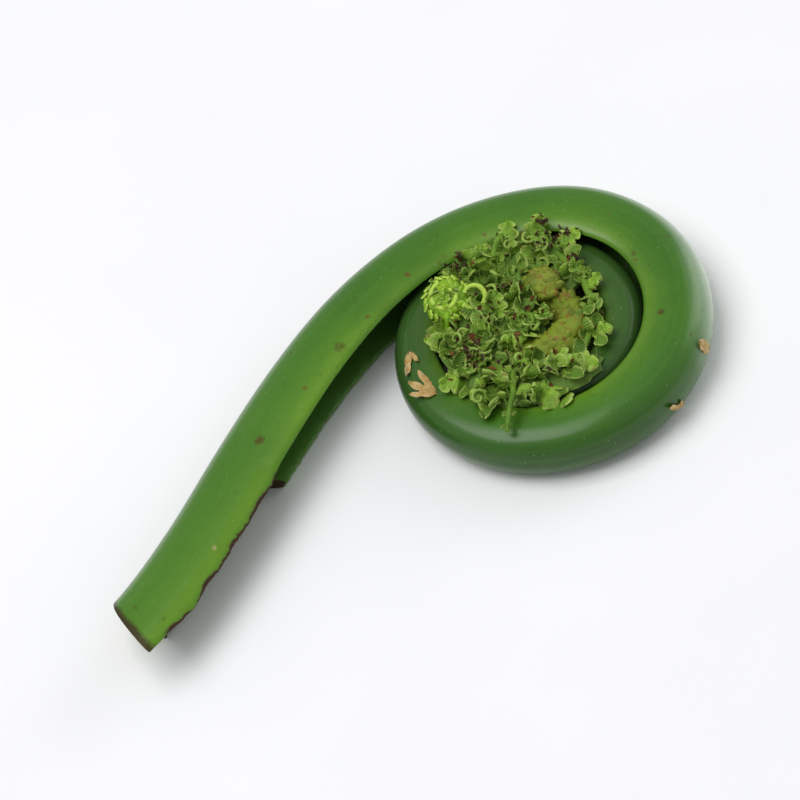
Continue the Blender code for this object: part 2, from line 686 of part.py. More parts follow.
def build_paper_scale(index, axis, distance, around, length, width, yaw):
    """A dry papery scale that clings to the stalk's skin, at an angle round it from the outside up."""
    depth = along(HALF_DEPTH, distance)
    half_width = along(HALF_WIDTH, distance)
    way = axis.way(distance)
    outward = Vector((-way.y, way.x, 0.0))
    turn = math.radians(around)
    lift = LEAF_THICKNESS / 2 + SCALE_GAP
    side = outward * math.cos(turn)
    up = Vector((0.0, 0.0, math.sin(turn)))
    centre = axis.at(distance)
    foot = Vector((centre.x, centre.y, along(AXIS_HEIGHT, distance))) + side * depth + up * half_width
    normal = (side / depth + up / half_width).normalized()
    along_way = Vector((way.x, way.y, 0.0))
    frame = Matrix((along_way, normal.cross(along_way), normal)).transposed().to_4x4()
    place = Matrix.Translation(foot + normal * lift) @ frame @ Matrix.Rotation(math.radians(yaw), 4, "Z")
    outside = math.cos(turn) ** 2
    bend_along = outside * BACK_BEND_ALONG
    bend_round = TOP_BEND_ROUND + outside * (BACK_BEND_ROUND - TOP_BEND_ROUND)
    share = math.cos(math.radians(yaw)) ** 2
    drape = (share * bend_along + (1 - share) * bend_round, (1 - share) * bend_along + share * bend_round)
    return leaf_blade(f"paper_scale_{index}", length, width, 2, place, drape)


def skin(name, colour, roughness):
    """A plain Principled material in the part's own colour."""
    material = bpy.data.materials.new(name)
    material.use_nodes = True
    shader = material.node_tree.nodes["Principled BSDF"]
    shader.inputs["Base Color"].default_value = (*colour, 1.0)
    shader.inputs["Roughness"].default_value = roughness
    shader.inputs["Metallic"].default_value = 0.0
    return material


def add_part(name, mesh, material, parent, collection):
    """Make the object of one piece, in metres, and hang it on the parent."""
    mesh.transform(Matrix.Scale(METRES_PER_MM, 4))
    mesh.materials.clear()
    mesh.materials.append(material)
    part = bpy.data.objects.new(name, mesh)
    collection.objects.link(part)
    part.parent = parent
    mesh.shade_smooth()
    mesh.set_sharp_from_angle(angle=math.radians(SHARP_ANGLE))
    return part


def main():
    """Clear the scene, build every piece and stand the origin at the stalk's foot."""
    for thing in list(bpy.data.objects):
        bpy.data.objects.remove(thing, do_unlink=True)
    collection = bpy.data.collections.new(OBJECT_NAME)
    bpy.context.scene.collection.children.link(collection)
    base = bpy.data.objects.new("fiddlehead_base", None)
    collection.objects.link(base)

    axis = stalk_axis()
    green = skin("stalk_green", *STALK_GREEN)
    leaf = skin("leaflet_green", *LEAFLET_GREEN)
    stalk = add_part("stalk", build_stalk(axis), green, base, collection)
    add_part("frond_tip", build_tip(), skin("tip_olive", *TIP_OLIVE), base, collection)
    add_part("pinnae_upper", build_upper_pinnae(), leaf, base, collection)
    add_part("pinnae_lower", build_lower_pinnae(), leaf, base, collection)
    add_part("young_pinna", build_young_pinna(), skin("young_lime", *YOUNG_LIME), base, collection)
    paper = skin("scale_tan", *SCALE_TAN)
    for index, place in enumerate(PAPER_SCALES, start=1):
        add_part(f"paper_scale_{index}", build_paper_scale(index, axis, *place), paper, base, collection)

    corners = [stalk.matrix_world @ Vector(corner) for corner in stalk.bound_box]
    middle = (Vector(map(min, zip(*corners))) + Vector(map(max, zip(*corners)))) / 2
    base.location = (-middle.x, -middle.y, 0.0)
    bpy.context.view_layer.update()


main()
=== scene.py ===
"""Ostrich fern fiddlehead: fine stalk, coiled tip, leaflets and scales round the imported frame."""

import bisect
import functools
import math
import random

import bmesh
import bpy
import numpy as np
from bpy.props import FloatProperty, FloatVectorProperty, IntProperty, PointerProperty
from mathutils import Matrix, Vector, noise
from mathutils.bvhtree import BVHTree


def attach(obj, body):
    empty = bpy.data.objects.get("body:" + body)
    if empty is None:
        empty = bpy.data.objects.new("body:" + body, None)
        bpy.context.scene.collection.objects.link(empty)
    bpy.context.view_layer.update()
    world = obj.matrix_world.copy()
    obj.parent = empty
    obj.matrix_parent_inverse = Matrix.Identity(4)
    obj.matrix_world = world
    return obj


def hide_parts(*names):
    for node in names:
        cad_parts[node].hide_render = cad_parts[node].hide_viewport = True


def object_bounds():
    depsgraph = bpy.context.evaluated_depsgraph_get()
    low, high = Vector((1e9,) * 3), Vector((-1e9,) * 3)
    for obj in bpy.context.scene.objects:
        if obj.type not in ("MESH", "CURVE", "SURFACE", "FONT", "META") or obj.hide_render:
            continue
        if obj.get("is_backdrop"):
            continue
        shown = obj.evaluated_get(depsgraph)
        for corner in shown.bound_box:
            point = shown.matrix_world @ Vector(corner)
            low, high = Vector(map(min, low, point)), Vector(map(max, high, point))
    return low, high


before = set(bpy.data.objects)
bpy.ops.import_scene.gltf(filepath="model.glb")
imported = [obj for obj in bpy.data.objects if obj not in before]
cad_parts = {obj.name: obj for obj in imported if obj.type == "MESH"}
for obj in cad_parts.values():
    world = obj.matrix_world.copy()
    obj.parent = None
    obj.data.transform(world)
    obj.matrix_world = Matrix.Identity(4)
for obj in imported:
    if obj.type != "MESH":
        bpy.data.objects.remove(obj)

bl_info = {
    "name": "Ostrich Fern Fiddlehead",
    "version": (1, 0, 0),
    "blender": (4, 5, 0),
    "location": "View3D > Sidebar > Fiddlehead",
    "description": "Dresses the packed fiddlehead with its fine shapes and finishes",
    "category": "Object",
}

CAD_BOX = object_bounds()
BODY = "root"
UP = Vector((0.0, 0.0, 1.0))
METRES_PER_MM = 0.001
# The frame's origin in the source's plan, in millimetres like every place below
PLAN_MIDDLE = Vector((36.968, 18.973, 0.0))

# Seeds of the draws: the first two are the source's, and FINER is added for what only the scene has
UPPER_SEED = 15
LOWER_SEED = 13
FINER = 100
TIP_SEED = 31
YOUNG_SEED = 47
CHAFF_SEED = 5

# The stalk's axis, section and sizes, as in the part's source
STIPE_START = (0.0, 0.31)
STIPE_HEADING = 34.4
STIPE_START_REACH = 19.55
STIPE_END_REACH = 25.34
COIL_CENTRE = (55.55, 22.23)
COIL_START_ANGLE = 80.0
COIL_RADIUS = 16.96
COIL_PITCH = 0.72
COIL_PITCH_GROWTH = 1.64
INNER_CENTRE = (54.6, 21.2)
INNER_RADIUS = 13.4
INNER_DECAY = 0.86
NESTING_TURNS = (0.75, 1.10)
STALK_TURNS = 1.90
TIP_TURNS = (1.95, 2.78)
HALF_DEPTH = ((-6, 4.64), (0, 4.62), (54, 4.26), (97, 3.71), (124, 3.16), (150, 2.47), (190, 2.2),
              (235, 1.45))
HALF_WIDTH = ((-6, 3.95), (0, 4.00), (40, 4.36), (66, 4.36), (97, 4.11), (124, 3.60), (150, 2.80), (190, 2.4),
              (235, 1.6))
AXIS_HEIGHT = ((-6, 4.0), (0, 4.0), (8, 4.02), (40, 4.5), (70, 4.28), (95, 4.2), (116, 3.74), (140, 3.7),
               (165, 4.1), (200, 4.2), (235, 4.4))
SECTION_HALF = ((-1.0, 0.0), (-0.90, 0.46), (-0.58, 0.82), (-0.08, 0.99), (0.55, 1.0), (1.0, 0.93),
                (1.10, 0.78), (0.62, 0.60), (0.12, 0.44), (-0.08, 0.0))
CUT_SLANT_TO_LIP = 0.31
CUT_SLANT_TO_TOP = 0.55
CUT_CLEAR_LENGTH = 4.3
TEAR_LENGTH = 24.6
TEAR_STEP = 1.0
TEAR_DEPTH = 0.08
TEAR_RAGGED = 0.08
TEAR_BULGE = 0.10
TEAR_MIDDLE = 0.70
LOWER_LIP = ((25, 0.62), (55, 0.68), (85, 1.2))

# Distance between the stalk's sections, beside the tear and beyond it, and the browned rim of its cut end
FINE_STEP = 0.30
STEP = 0.60
CUT_RIM = 0.32
CUT_HOLLOW = 0.10
# Where the upper lip lies round the section, and how far it rolls over and frays beside the tear
LIP_PLACE = 0.64
LIP_SPREAD = 0.11
LIP_TORN = 0.65
LIP_ROLL = 0.16
LIP_FRAY = 0.05

# Coiled tip: half sizes, heights, sections and points round them, and the knob where the roll begins
TIP_HALF_DEPTH = 2.4
TIP_HALF_WIDTH = 2.45
TIP_HEIGHT = (4.6, 6.35)
TIP_SECTIONS = 100
TIP_SIDES = 24
TIP_KNOB = ((57.2, 26.3, 7.8), (2.4, 2.3, 1.4))
KNOB_LEAFLETS = 60
TIP_STATIONS = 24
TIP_ROW = 9

# Leaflets. Cushions and cores are (centre, half sizes), and a fill is one leaflet a turn of the golden angle
GOLDEN_ANGLE = math.radians(137.5)
LEAFLET_LENGTH = (3.0, 4.4)
LEAFLET_BREADTH = (0.62, 0.82)
LEAFLET_SWING = 70
LEAFLET_ROLL = 25
UPPER_CORE = (((49.6, 21.5, 6.6), (6.2, 10.2, 1.0)), ((55.5, 31.0, 6.9), (6.8, 3.6, 0.95)),
              ((54.0, 13.6, 6.7), (6.6, 3.4, 0.95)))
GAP_BED = ((60.2, 27.2, 6.5), (2.0, 2.3, 1.0))
# Ribs: three control points, and the thickness at root and tip, of which the scene shows a share
UPPER_RIBS = (
    (((52.0, 28.6, 7.4), (52.9, 33.0, 9.6), (54.9, 35.0, 8.2)), (0.72, 0.5)),
    (((50.4, 27.6, 7.2), (49.6, 31.6, 9.4), (50.5, 33.6, 8.0)), (0.6, 0.42)),
    (((49.0, 19.8, 7.4), (49.4, 23.6, 9.6), (50.2, 26.6, 8.0)), (0.6, 0.42)),
    (((51.0, 16.4, 7.4), (50.2, 11.5, 10.4), (47.3, 6.5, 8.3)), (0.6, 0.4)),
    (((59.6, 31.6, 7.3), (65.6, 23.0, 7.8), (57.6, 13.4, 7.1)), (0.75, 0.6)),
    (((47.0, 20.5, 7.2), (44.2, 24.2, 8.6), (43.2, 22.0, 7.4)), (0.55, 0.42)),
    (((50.0, 13.4, 7.2), (46.6, 11.6, 8.4), (45.4, 13.6, 7.5)), (0.55, 0.42)),
)
RIB_STEPS = 14
RIB_FINENESS = 0.74
# Small coils: centre, radius, thickness, turns, heading and tilt
UPPER_CURLS = (
    ((56.0, 27.6, 8.3), 1.55, 0.54, 1.1, 40, 20), ((53.7, 21.9, 8.2), 1.7, 0.5, 1.1, 200, -15),
    ((62.4, 26.3, 8.1), 1.1, 0.38, 1.0, 90, 30), ((61.4, 19.6, 7.8), 1.1, 0.38, 1.0, 10, 30),
    ((46.2, 19.4, 7.8), 1.4, 0.46, 1.1, 120, -20), ((49.6, 30.6, 7.9), 1.3, 0.44, 1.1, 300, 25),
    ((58.8, 32.2, 8.2), 1.3, 0.44, 1.1, 250, 15), ((56.9, 12.6, 7.7), 1.3, 0.44, 1.1, 330, -15),
)
CURL_FINENESS = 0.75
# Leaflets placed one by one: foot, length, width, heading, tilt and roll
UPPER_LEAVES = (
    ((51.6, 19.6, 7.6), 4.8, 3.8, -75, 22, 8), ((54.6, 17.2, 7.5), 4.8, 3.8, -60, 20, -12),
    ((49.0, 15.0, 7.4), 4.6, 2.6, 200, 8, 10), ((53.4, 13.0, 7.4), 4.6, 3.4, -95, 14, 10),
    ((56.6, 14.2, 7.4), 4.2, 3.2, -30, 18, -8), ((54.6, 32.4, 7.8), 4.6, 3.2, 70, 20, -10),
    ((57.2, 32.4, 7.8), 4.4, 3.0, 40, 26, 10), ((60.0, 30.8, 7.6), 4.0, 2.8, 15, 20, 10),
    ((45.8, 22.6, 7.2), 4.2, 3.0, 165, 22, 10), ((45.6, 17.2, 7.2), 4.0, 3.0, 190, 20, -10),
    ((61.9, 23.4, 7.6), 2.6, 2.0, 30, 30, 0), ((60.4, 17.0, 7.4), 3.0, 2.4, -10, 24, 0),
)
# The first of them are broad and stay bare of small leaflets
BARE_LEAVES = 9
# Fills: centre, half sizes, count, height of their feet, lowest and highest tilt, and a bare box in plan
UPPER_FILL = ((51.4, 22.2), (7.2, 11.4), 44, 7.25, (12, 48), (55.6, 62.5, 15.5, 30.0))
LOWER_FILL = ((54.6, 21.4), (7.4, 7.8), 32, 1.55, (-8, 8), None)
LOWER_CORE = ((54.4, 21.4, 2.4), (7.2, 7.6, 1.25))
# Nothing small grows above this height, and no small leaflet or coil this near to the young pinna
SMALL_HEIGHT = 9.0
LEAFLET_CLEAR = 3.0
COIL_CLEAR = 3.2
# Heights clear of the object, from which lines are sent down or up to it
ABOVE = 14.0
BELOW = -6.0
# The lower leaflets stop this far above the surface, and flatten over this much room
FLOOR_GAP = 0.15
FLOOR_ROOM = 0.6

# How each sort of leaflet is cut: lobes, points along a lobe and across, depth left by the notches, thickness
BROAD_CUT = {"lobes": 3, "columns": 6, "rows": 8, "notch": 0.55, "thickness": 0.16}
FILL_CUT = {"lobes": 3, "columns": 5, "rows": 6, "notch": 0.68, "thickness": 0.16}
LOWER_CUT = {"lobes": 3, "columns": 5, "rows": 6, "notch": 0.72, "thickness": 0.18}
SMALL_CUT = {"lobes": 2, "columns": 4, "rows": 4, "notch": 0.78, "thickness": 0.14}
SMALL_LOWER_CUT = {"lobes": 2, "columns": 4, "rows": 4, "notch": 0.75, "thickness": 0.14}
RIB_CUT = {"lobes": 2, "columns": 3, "rows": 4, "notch": 0.65, "thickness": 0.14}
KNOB_CUT = {"lobes": 2, "columns": 3, "rows": 4, "notch": 0.8, "thickness": 0.16}
TIP_CUT = {"lobes": 2, "columns": 3, "rows": 4, "notch": 0.75, "thickness": 0.14}
YOUNG_CUT = {"lobes": 2, "columns": 4, "rows": 6, "notch": 0.75, "thickness": 0.14}
SCALE_CUT = {"lobes": 2, "columns": 8, "rows": 8, "notch": 0.72, "thickness": 0.06}
CRUMB_CUT = {"lobes": 1, "columns": 3, "rows": 2, "notch": 1.0, "thickness": 0.08}

# Young pinna: core, stalk, the coil and its open loop, how each is wound, and the rows of leaflets round it
YOUNG_CORE = ((46.2, 28.0, 9.0), (2.4, 2.4, 0.95))
YOUNG_STALK = (((46.0, 26.6, 8.9), (45.2, 25.2, 8.8), (44.6, 24.0, 7.3)), (0.6, 0.5))
YOUNG_CURLS = (((46.2, 28.0, 9.5), 2.1, 0.62, 1.1, 100, -10), ((49.2, 27.1, 9.1), 1.6, 0.42, 0.85, 200, -20))
YOUNG_WINDING = ((0.6, 0.8), (0.95, 0.3))
YOUNG_ROWS = ((19, 1.22, 1.15, -4), (13, 0.80, 1.0, 4), (8, 0.46, 0.9, 18), (4, 0.15, 0.8, 45))
YOUNG_STALK_STEPS = 12
YOUNG_STALK_FINENESS = 0.8
YOUNG_LEAN = math.radians(16)

# Papery scales: distance, angle round the stalk, length, width and heading, and how the skin bends under them
PAPER_SCALES = ((149.0, 84.0, 3.8, 1.3, 170.0), (141.0, 98.0, 4.4, 2.4, 20.0),
                (105.0, -4.0, 3.0, 1.6, -75.0), (111.0, -26.0, 3.6, 1.1, -50.0))
BACK_BEND_ALONG = 0.048
BACK_BEND_ROUND = 0.20
TOP_BEND_ROUND = 0.10
# How each is split: length and breadth of each finger beside the whole, and how far it fans out
SCALE_FINGERS = (((1.0, 0.7, 0), (0.6, 0.5, 35)), ((1.0, 0.42, -24), (0.9, 0.5, 4), (0.75, 0.4, 30)),
                 ((1.0, 1.0, 0),), ((1.0, 0.8, 0), (0.5, 0.6, -30)))
# Tufts of chaff: middle, spread, crumbs and share of brown ones. The scattered ones come last
CHAFF_TUFTS = (((60.4, 32.6), 1.8, 46, 0.2), ((48.6, 32.4), 1.5, 34, 0.2), ((46.6, 19.4), 2.2, 30, 0.5),
               ((62.0, 27.6), 1.4, 22, 0.3))
CHAFF_SCATTER = ((52.4, 21.6), 9.0)
SCATTER_BROWN = 0.6

# Scuffs on the skin and one pale mark, each with its radius
SCUFFS = (((32.2, 26.8, 8.3), 1.0), ((19.9, 17.4, 8.3), 0.9), ((68.7, 25.9, 8.0), 0.6),
          ((69.1, 16.2, 8.0), 0.55), ((67.6, 20.7, 7.8), 0.6), ((42.8, 42.3, 6.0), 0.8),
          ((30.4, 38.0, 4.5), 0.7), ((76.0, 24.0, 3.0), 0.8))
PALE_MARK = ((11.2, 5.0, 8.2), 0.55)
# Lengths from the cut, in millimetres, that the ramps along the stalk span
STEM_SPAN = 60.0
BEND_SPAN = 150.0
COIL_SPAN = 200.0
# Plant tissue, paper and paint are all close to this
IOR = 1.45
DRY_LEAF = "#7d5230"
SHARP_ANGLE = math.radians(55)

# Stage, in metres: half the floor's width, and each light's name, place, size and setting
FLOOR_HALF = 4.0
LIGHTS = (("window_light", (0.50, 0.22, 0.22), 0.40, "window_power"),
          ("overhead_light", (-0.20, 0.00, 0.60), 0.45, "overhead_power"))
SENSOR_WIDTH = 36.0
CAMERA_REACH = 10.0
# The photograph's view: how steeply the camera looks down, and how far it is rolled
CAMERA_ELEVATION = 50.87
CAMERA_ROLL = 19.23


# Numbers and lines


def smooth(value):
    """Ease from 0 to 1 with flat ends."""
    value = min(max(value, 0.0), 1.0)
    return value * value * (3.0 - 2.0 * value)


@functools.cache
def knots(table):
    """The places, values and slopes of a table of (distance, value) pairs."""
    at = np.array([pair[0] for pair in table], dtype=float)
    value = np.array([pair[1] for pair in table], dtype=float)
    return at.tolist(), value.tolist(), np.gradient(value, at).tolist()


def along(table, distance):
    """Read a smooth curve through the (distance, value) pairs of a table."""
    at, value, slope = knots(table)
    distance = min(max(distance, at[0]), at[-1])
    index = min(bisect.bisect_right(at, distance) - 1, len(at) - 2)
    span = at[index + 1] - at[index]
    part = (distance - at[index]) / span
    rise = value[index + 1] - value[index]
    start = slope[index] * span
    end = slope[index + 1] * span
    bend = part * (start + end - 2 * rise)
    return value[index] + part * (start + part * ((3 * rise - 2 * start - end) + bend))


def coil_plan(turns):
    """Place of the stalk's axis, seen from above, after a number of turns of the coil."""
    angle = math.radians(COIL_START_ANGLE) - 2 * math.pi * turns
    ray = Vector((math.cos(angle), math.sin(angle)))
    outer = Vector(COIL_CENTRE) + ray * (COIL_RADIUS - COIL_PITCH * turns - COIL_PITCH_GROWTH * turns * turns)
    inner = Vector(INNER_CENTRE) + ray * (INNER_RADIUS * math.exp(-INNER_DECAY * (turns - 1.0)))
    return outer.lerp(inner, smooth((turns - NESTING_TURNS[0]) / (NESTING_TURNS[1] - NESTING_TURNS[0])))


def stipe_plan(part):
    """Place of the stipe's axis, seen from above, from the cut at 0 to the coil at 1."""
    start = Vector(STIPE_START)
    end = coil_plan(0.0)
    heading = math.radians(STIPE_HEADING)
    coil_way = (coil_plan(0.001) - end).normalized()
    first = start + STIPE_START_REACH * Vector((math.cos(heading), math.sin(heading)))
    second = end - STIPE_END_REACH * coil_way
    rest = 1.0 - part
    near = rest ** 3 * start + 3 * rest * rest * part * first
    return near + 3 * rest * part * part * second + part ** 3 * end


class Axis:
    """The stalk's axis seen from above, read at any distance from the cut."""

    LEAD = 0.06
    REACH = 0.3
    STIPE_STEPS = 80
    COIL_STEPS = 400

    def __init__(self):
        stipe = [stipe_plan(-self.LEAD + (1.0 + self.LEAD) * step / self.STIPE_STEPS)
                 for step in range(self.STIPE_STEPS)]
        coil = [coil_plan(STALK_TURNS * step / self.COIL_STEPS) for step in range(self.COIL_STEPS + 1)]
        self.points = np.array([tuple(point) for point in stipe + coil])
        steps = np.linalg.norm(np.diff(self.points, axis=0), axis=1)
        self.distance = np.concatenate(([0.0], np.cumsum(steps)))
        # The distance is 0 at the cut, which is near the start of the points
        nearest = int(np.argmin(np.linalg.norm(self.points[:20] - np.array(STIPE_START), axis=1)))
        self.distance -= self.distance[nearest]
        self.end = float(self.distance[-1])

    def at(self, distance):
        """The axis's place in plan."""
        return Vector([float(np.interp(distance, self.distance, self.points[:, axis])) for axis in (0, 1)])

    def way(self, distance):
        """The way in which the axis runs there."""
        back = max(distance - self.REACH, float(self.distance[0]))
        forth = min(distance + self.REACH, self.end)
        return (self.at(forth) - self.at(back)).normalized()


def catmull(before, start, end, after, part):
    """A point on the smooth curve between start and end."""
    return 0.5 * (2 * start + (end - before) * part + (2 * before - 5 * start + 4 * end - after) * part ** 2
                  + (3 * start - before - 3 * end + after) * part ** 3)


def bezier(ends, part):
    """A point on the quadratic curve of three control points."""
    first, bend, last = (Vector(end) for end in ends)
    return (1 - part) ** 2 * first + 2 * (1 - part) * part * bend + part * part * last


def wander(spot):
    """A smooth vector of noise at a place, the same in each run."""
    return Vector([noise.noise(spot + Vector((0.0, 0.0, 17.3 * axis))) for axis in range(3)])


def taper(ends, steps, share):
    """Evenly changing radii from the first of two ends to the second, times a share."""
    root, tip = ends
    return [(root + (tip - root) * step / steps) * share for step in range(steps + 1)]


def spiral(count):
    """Sunflower order: the reach from 0 to 1 and the angle of each of so many places."""
    for index in range(count):
        yield math.sqrt((index + 0.5) / count), index * GOLDEN_ANGLE


def draw(rng, count):
    """So many random shares from 0 to 1."""
    return [rng.uniform(0, 1) for _ in range(count)]


# Mesh tools
class Shape:
    """A bmesh with the attributes that the finishes read, put together from small ones."""

    def __init__(self, *attributes):
        self.attributes = attributes
        self.bm = self.fresh()
        self.scratch = bpy.data.meshes.new("scratch")

    def fresh(self):
        """An empty bmesh with the same attributes."""
        bm = bmesh.new()
        for name in self.attributes:
            bm.verts.layers.float.new(name)
        return bm

    def take(self, bm):
        """Add a small bmesh to the shape."""
        bm.to_mesh(self.scratch)
        bm.free()
        self.bm.from_mesh(self.scratch)

    @staticmethod
    def mark(bm, verts, **values):
        """Give the same attribute values to all these vertices."""
        for name, value in values.items():
            layer = bm.verts.layers.float[name]
            for vert in verts:
                vert[layer] = value

    @staticmethod
    def ring(bm, points):
        """A closed ring: a circle whose points go where the section puts them."""
        verts = bmesh.ops.create_circle(bm, segments=len(points), radius=1.0)["verts"]
        for vert, point in zip(verts, points):
            vert.co = point
        return verts

    @staticmethod
    def ring_edges(verts):
        """The edges that join these vertices, in the order of the vertices."""
        members = set(verts)
        return list(dict.fromkeys(edge for vert in verts for edge in vert.link_edges
                                  if edge.other_vert(vert) in members))

    def skin(self, bm, rings):
        """Bridge each ring to the next one."""
        loops = [self.ring_edges(ring) for ring in rings]
        for near, far in zip(loops, loops[1:]):
            bmesh.ops.bridge_loops(bm, edges=near + far)

    def close(self, bm, ring):
        """Close a ring with flat faces."""
        made = bmesh.ops.triangle_fill(bm, use_beauty=True, edges=self.ring_edges(ring))["geom"]
        return [face for face in made if isinstance(face, bmesh.types.BMFace)]

    def tube(self, points, radii, sides=8, **marks):
        """A tapered tube along points in space, closed at both ends."""
        bm = self.fresh()
        rings = []
        for index, point in enumerate(points):
            way = points[min(index + 1, len(points) - 1)] - points[max(index - 1, 0)]
            turn = way.to_track_quat("Z", "Y")
            rings.append(self.ring(bm, [
                point + turn @ Vector((radii[index] * math.cos(2 * math.pi * side / sides),
                                       radii[index] * math.sin(2 * math.pi * side / sides), 0.0))
                for side in range(sides)]))
        self.skin(bm, rings)
        self.close(bm, rings[0])
        self.close(bm, rings[-1])
        self.mark(bm, bm.verts, **marks)
        self.take(bm)

    def blade(self, place, length, width, *, lobes, columns, rows, notch, thickness, curl, cup, tint=0.5,
              wave=0.0, seed=0.0, drape=(0.0, 0.0)):
        """A leaflet with round lobes that starts at the origin of its place and points along its X.

        The curl rolls it up along its length, the cup hollows it across, the wave buckles it, and the drape
        bends it over the skin below, along and across.
        """
        bm = self.fresh()
        edge, shade, way = (bm.verts.layers.float[name] for name in ("edge", "tint", "run"))
        made = bmesh.ops.create_grid(bm, x_segments=lobes * columns, y_segments=rows, size=0.5)["verts"]
        bend = curl / length
        for vert in made:
            part = min(max(vert.co.x + 0.5, 0.0), 1.0)
            side = 2.0 * vert.co.y
            # Round lobes with notches between, and the last half lobe left whole
            lobe = notch + (1.0 - notch) * abs(math.sin(math.pi * lobes * part)) ** 0.6
            if part > 1.0 - 0.5 / lobes:
                lobe = 1.0
            # The outline swells from the foot and closes at the tip
            reach = max(math.sin(math.pi * part ** 0.8), 0.0) ** 0.5
            half = max(0.5 * width * reach * (1.0 - (1.0 - lobe) * abs(side)), 0.05 * width)
            run = length * (part + 0.10 * abs(side) * (1.0 - part))
            ripple = wave * noise.noise(Vector((part * 3.1, side * 1.7, seed)))
            rise = cup * half * side * side + ripple
            turned = run * bend
            x = math.sin(turned) / bend - rise * math.sin(turned)
            z = (1.0 - math.cos(turned)) / bend + rise * math.cos(turned)
            vert[edge] = abs(side)
            vert[shade] = tint
            vert[way] = part
            vert.co = (x, side * half, z - (drape[0] * x * x + drape[1] * (side * half) ** 2) / 2)
        bmesh.ops.solidify(bm, geom=bm.faces[:], thickness=thickness)
        bmesh.ops.transform(bm, matrix=place, verts=bm.verts)
        self.take(bm)

    def cushion(self, centre, radii, tint, lump, grain=4.0):
        """A lumpy flattened ball under the leaflets; with a low tint it is a dark bed of painted shade among
        them.
        """
        bm = self.fresh()
        bmesh.ops.create_uvsphere(bm, u_segments=28, v_segments=16, radius=1.0)
        for vert in bm.verts:
            swell = 1.0 + lump * noise.noise(vert.co * grain + Vector(centre))
            vert.co = Vector(centre) + Vector([vert.co[axis] * radii[axis] * swell for axis in range(3)])
        self.mark(bm, bm.verts, tint=tint, edge=0.0, run=0.5)
        self.take(bm)

    def finish(self, name, materials, replaced=()):
        """Bring the shape to the frame's metres and make it a piece that rides on the body."""
        bmesh.ops.recalc_face_normals(self.bm, faces=self.bm.faces)
        place = Matrix.Scale(METRES_PER_MM, 4) @ Matrix.Translation(-PLAN_MIDDLE)
        bmesh.ops.transform(self.bm, matrix=place, verts=self.bm.verts)
        mesh = bpy.data.meshes.new(name)
        self.bm.to_mesh(mesh)
        self.bm.free()
        bpy.data.meshes.remove(self.scratch)
        for material in materials:
            mesh.materials.append(material)
        piece = bpy.data.objects.new(name, mesh)
        bpy.context.scene.collection.objects.link(piece)
        mesh.shade_smooth()
        mesh.set_sharp_from_angle(angle=SHARP_ANGLE)
        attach(piece, BODY)
        if replaced:
            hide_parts(*replaced)


def blade_place(spot, yaw, tilt, roll):
    """Where a blade starts, which way it points, how steeply it rises and how it leans, in degrees."""
    turn = Matrix.Rotation(math.radians(yaw), 4, "Z")
    rise = Matrix.Rotation(math.radians(-tilt), 4, "Y")
    return Matrix.Translation(Vector(spot)) @ turn @ rise @ Matrix.Rotation(math.radians(roll), 4, "X")


def frame_on(spot, way, up):
    """A place at spot whose X follows way and whose Z leans to up."""
    x = Vector(way).normalized()
    y = Vector(up).cross(x).normalized()
    return Matrix.Translation(Vector(spot)) @ Matrix((x, y, x.cross(y))).transposed().to_4x4()


def lean_of(yaw, tilt):
    """The turn of a small coil whose flat face looks up, tipped towards a side."""
    return Matrix.Rotation(math.radians(yaw), 3, "Z") @ Matrix.Rotation(math.radians(tilt), 3, "X")


# Finishes

def linear(code):
    """The linear colour of an sRGB hex code."""
    values = [int(code[place:place + 2], 16) / 255 for place in (1, 3, 5)]
    return tuple(v / 12.92 if v <= 0.04045 else ((v + 0.055) / 1.055) ** 2.4 for v in values) + (1.0,)


def as_colour(value):
    """A socket's four numbers from a hex code, a grey value or a picked colour."""
    if isinstance(value, str):
        return linear(value)
    if isinstance(value, (int, float)):
        return value, value, value, 1.0
    return (*value[:3], 1.0)


def node(tree, kind, *values, out=None, stops=(), **named):
    """Add a node and give back one of its outputs, the first live one if none is named.

    The values go to its live inputs in order. A named one goes to the input or the setting of that name. One
    that is a socket is linked. The stops of a ramp are (place, colour or grey value).
    """
    made = tree.nodes.new("ShaderNode" + kind)
    wanted = []
    for name, value in named.items():
        if name in made.inputs:
            wanted.append((made.inputs[name], value))
        else:
            setattr(made, name, value)
    wanted += zip([socket for socket in made.inputs if socket.enabled], values)
    for socket, value in wanted:
        if isinstance(value, bpy.types.NodeSocket):
            tree.links.new(value, socket)
        else:
            socket.default_value = as_colour(value) if socket.type == "RGBA" else value
    while stops and len(made.color_ramp.elements) < len(stops):
        made.color_ramp.elements.new(0.5)
    for index, (place, value) in enumerate(stops):
        made.color_ramp.elements[index].position = place
        made.color_ramp.elements[index].color = as_colour(value)
    return made.outputs[out] if out else next(socket for socket in made.outputs if socket.enabled)


def attributes(tree, *names):
    """The piece's own attributes that a pattern follows."""
    return [node(tree, "Attribute", attribute_name=name, out="Fac") for name in names]


def lay(tree, colour, over, factor, *stops):
    """Lay a colour over another as far as the stops of a ramp say, or as far as the factor itself says."""
    share = node(tree, "ValToRGB", factor, stops=stops) if stops else factor
    return node(tree, "Mix", share, colour, over, data_type="RGBA")


def object_noise(tree, per_mm, detail=3.0, roughness=0.55):
    """Noise on Object coordinates, so many patches per millimetre."""
    scale = per_mm / METRES_PER_MM
    place = node(tree, "Mapping", Vector=node(tree, "TexCoord", out="Object"), Scale=(scale, scale, scale))
    return node(tree, "TexNoise", Vector=place, Scale=1.0, Detail=detail, Roughness=roughness)


def spots(tree, per_mm):
    """How far it is to the nearest of the spots that lie on Object coordinates, so many per millimetre."""
    return node(tree, "TexVoronoi", Vector=node(tree, "TexCoord", out="Object"), Scale=per_mm / METRES_PER_MM)


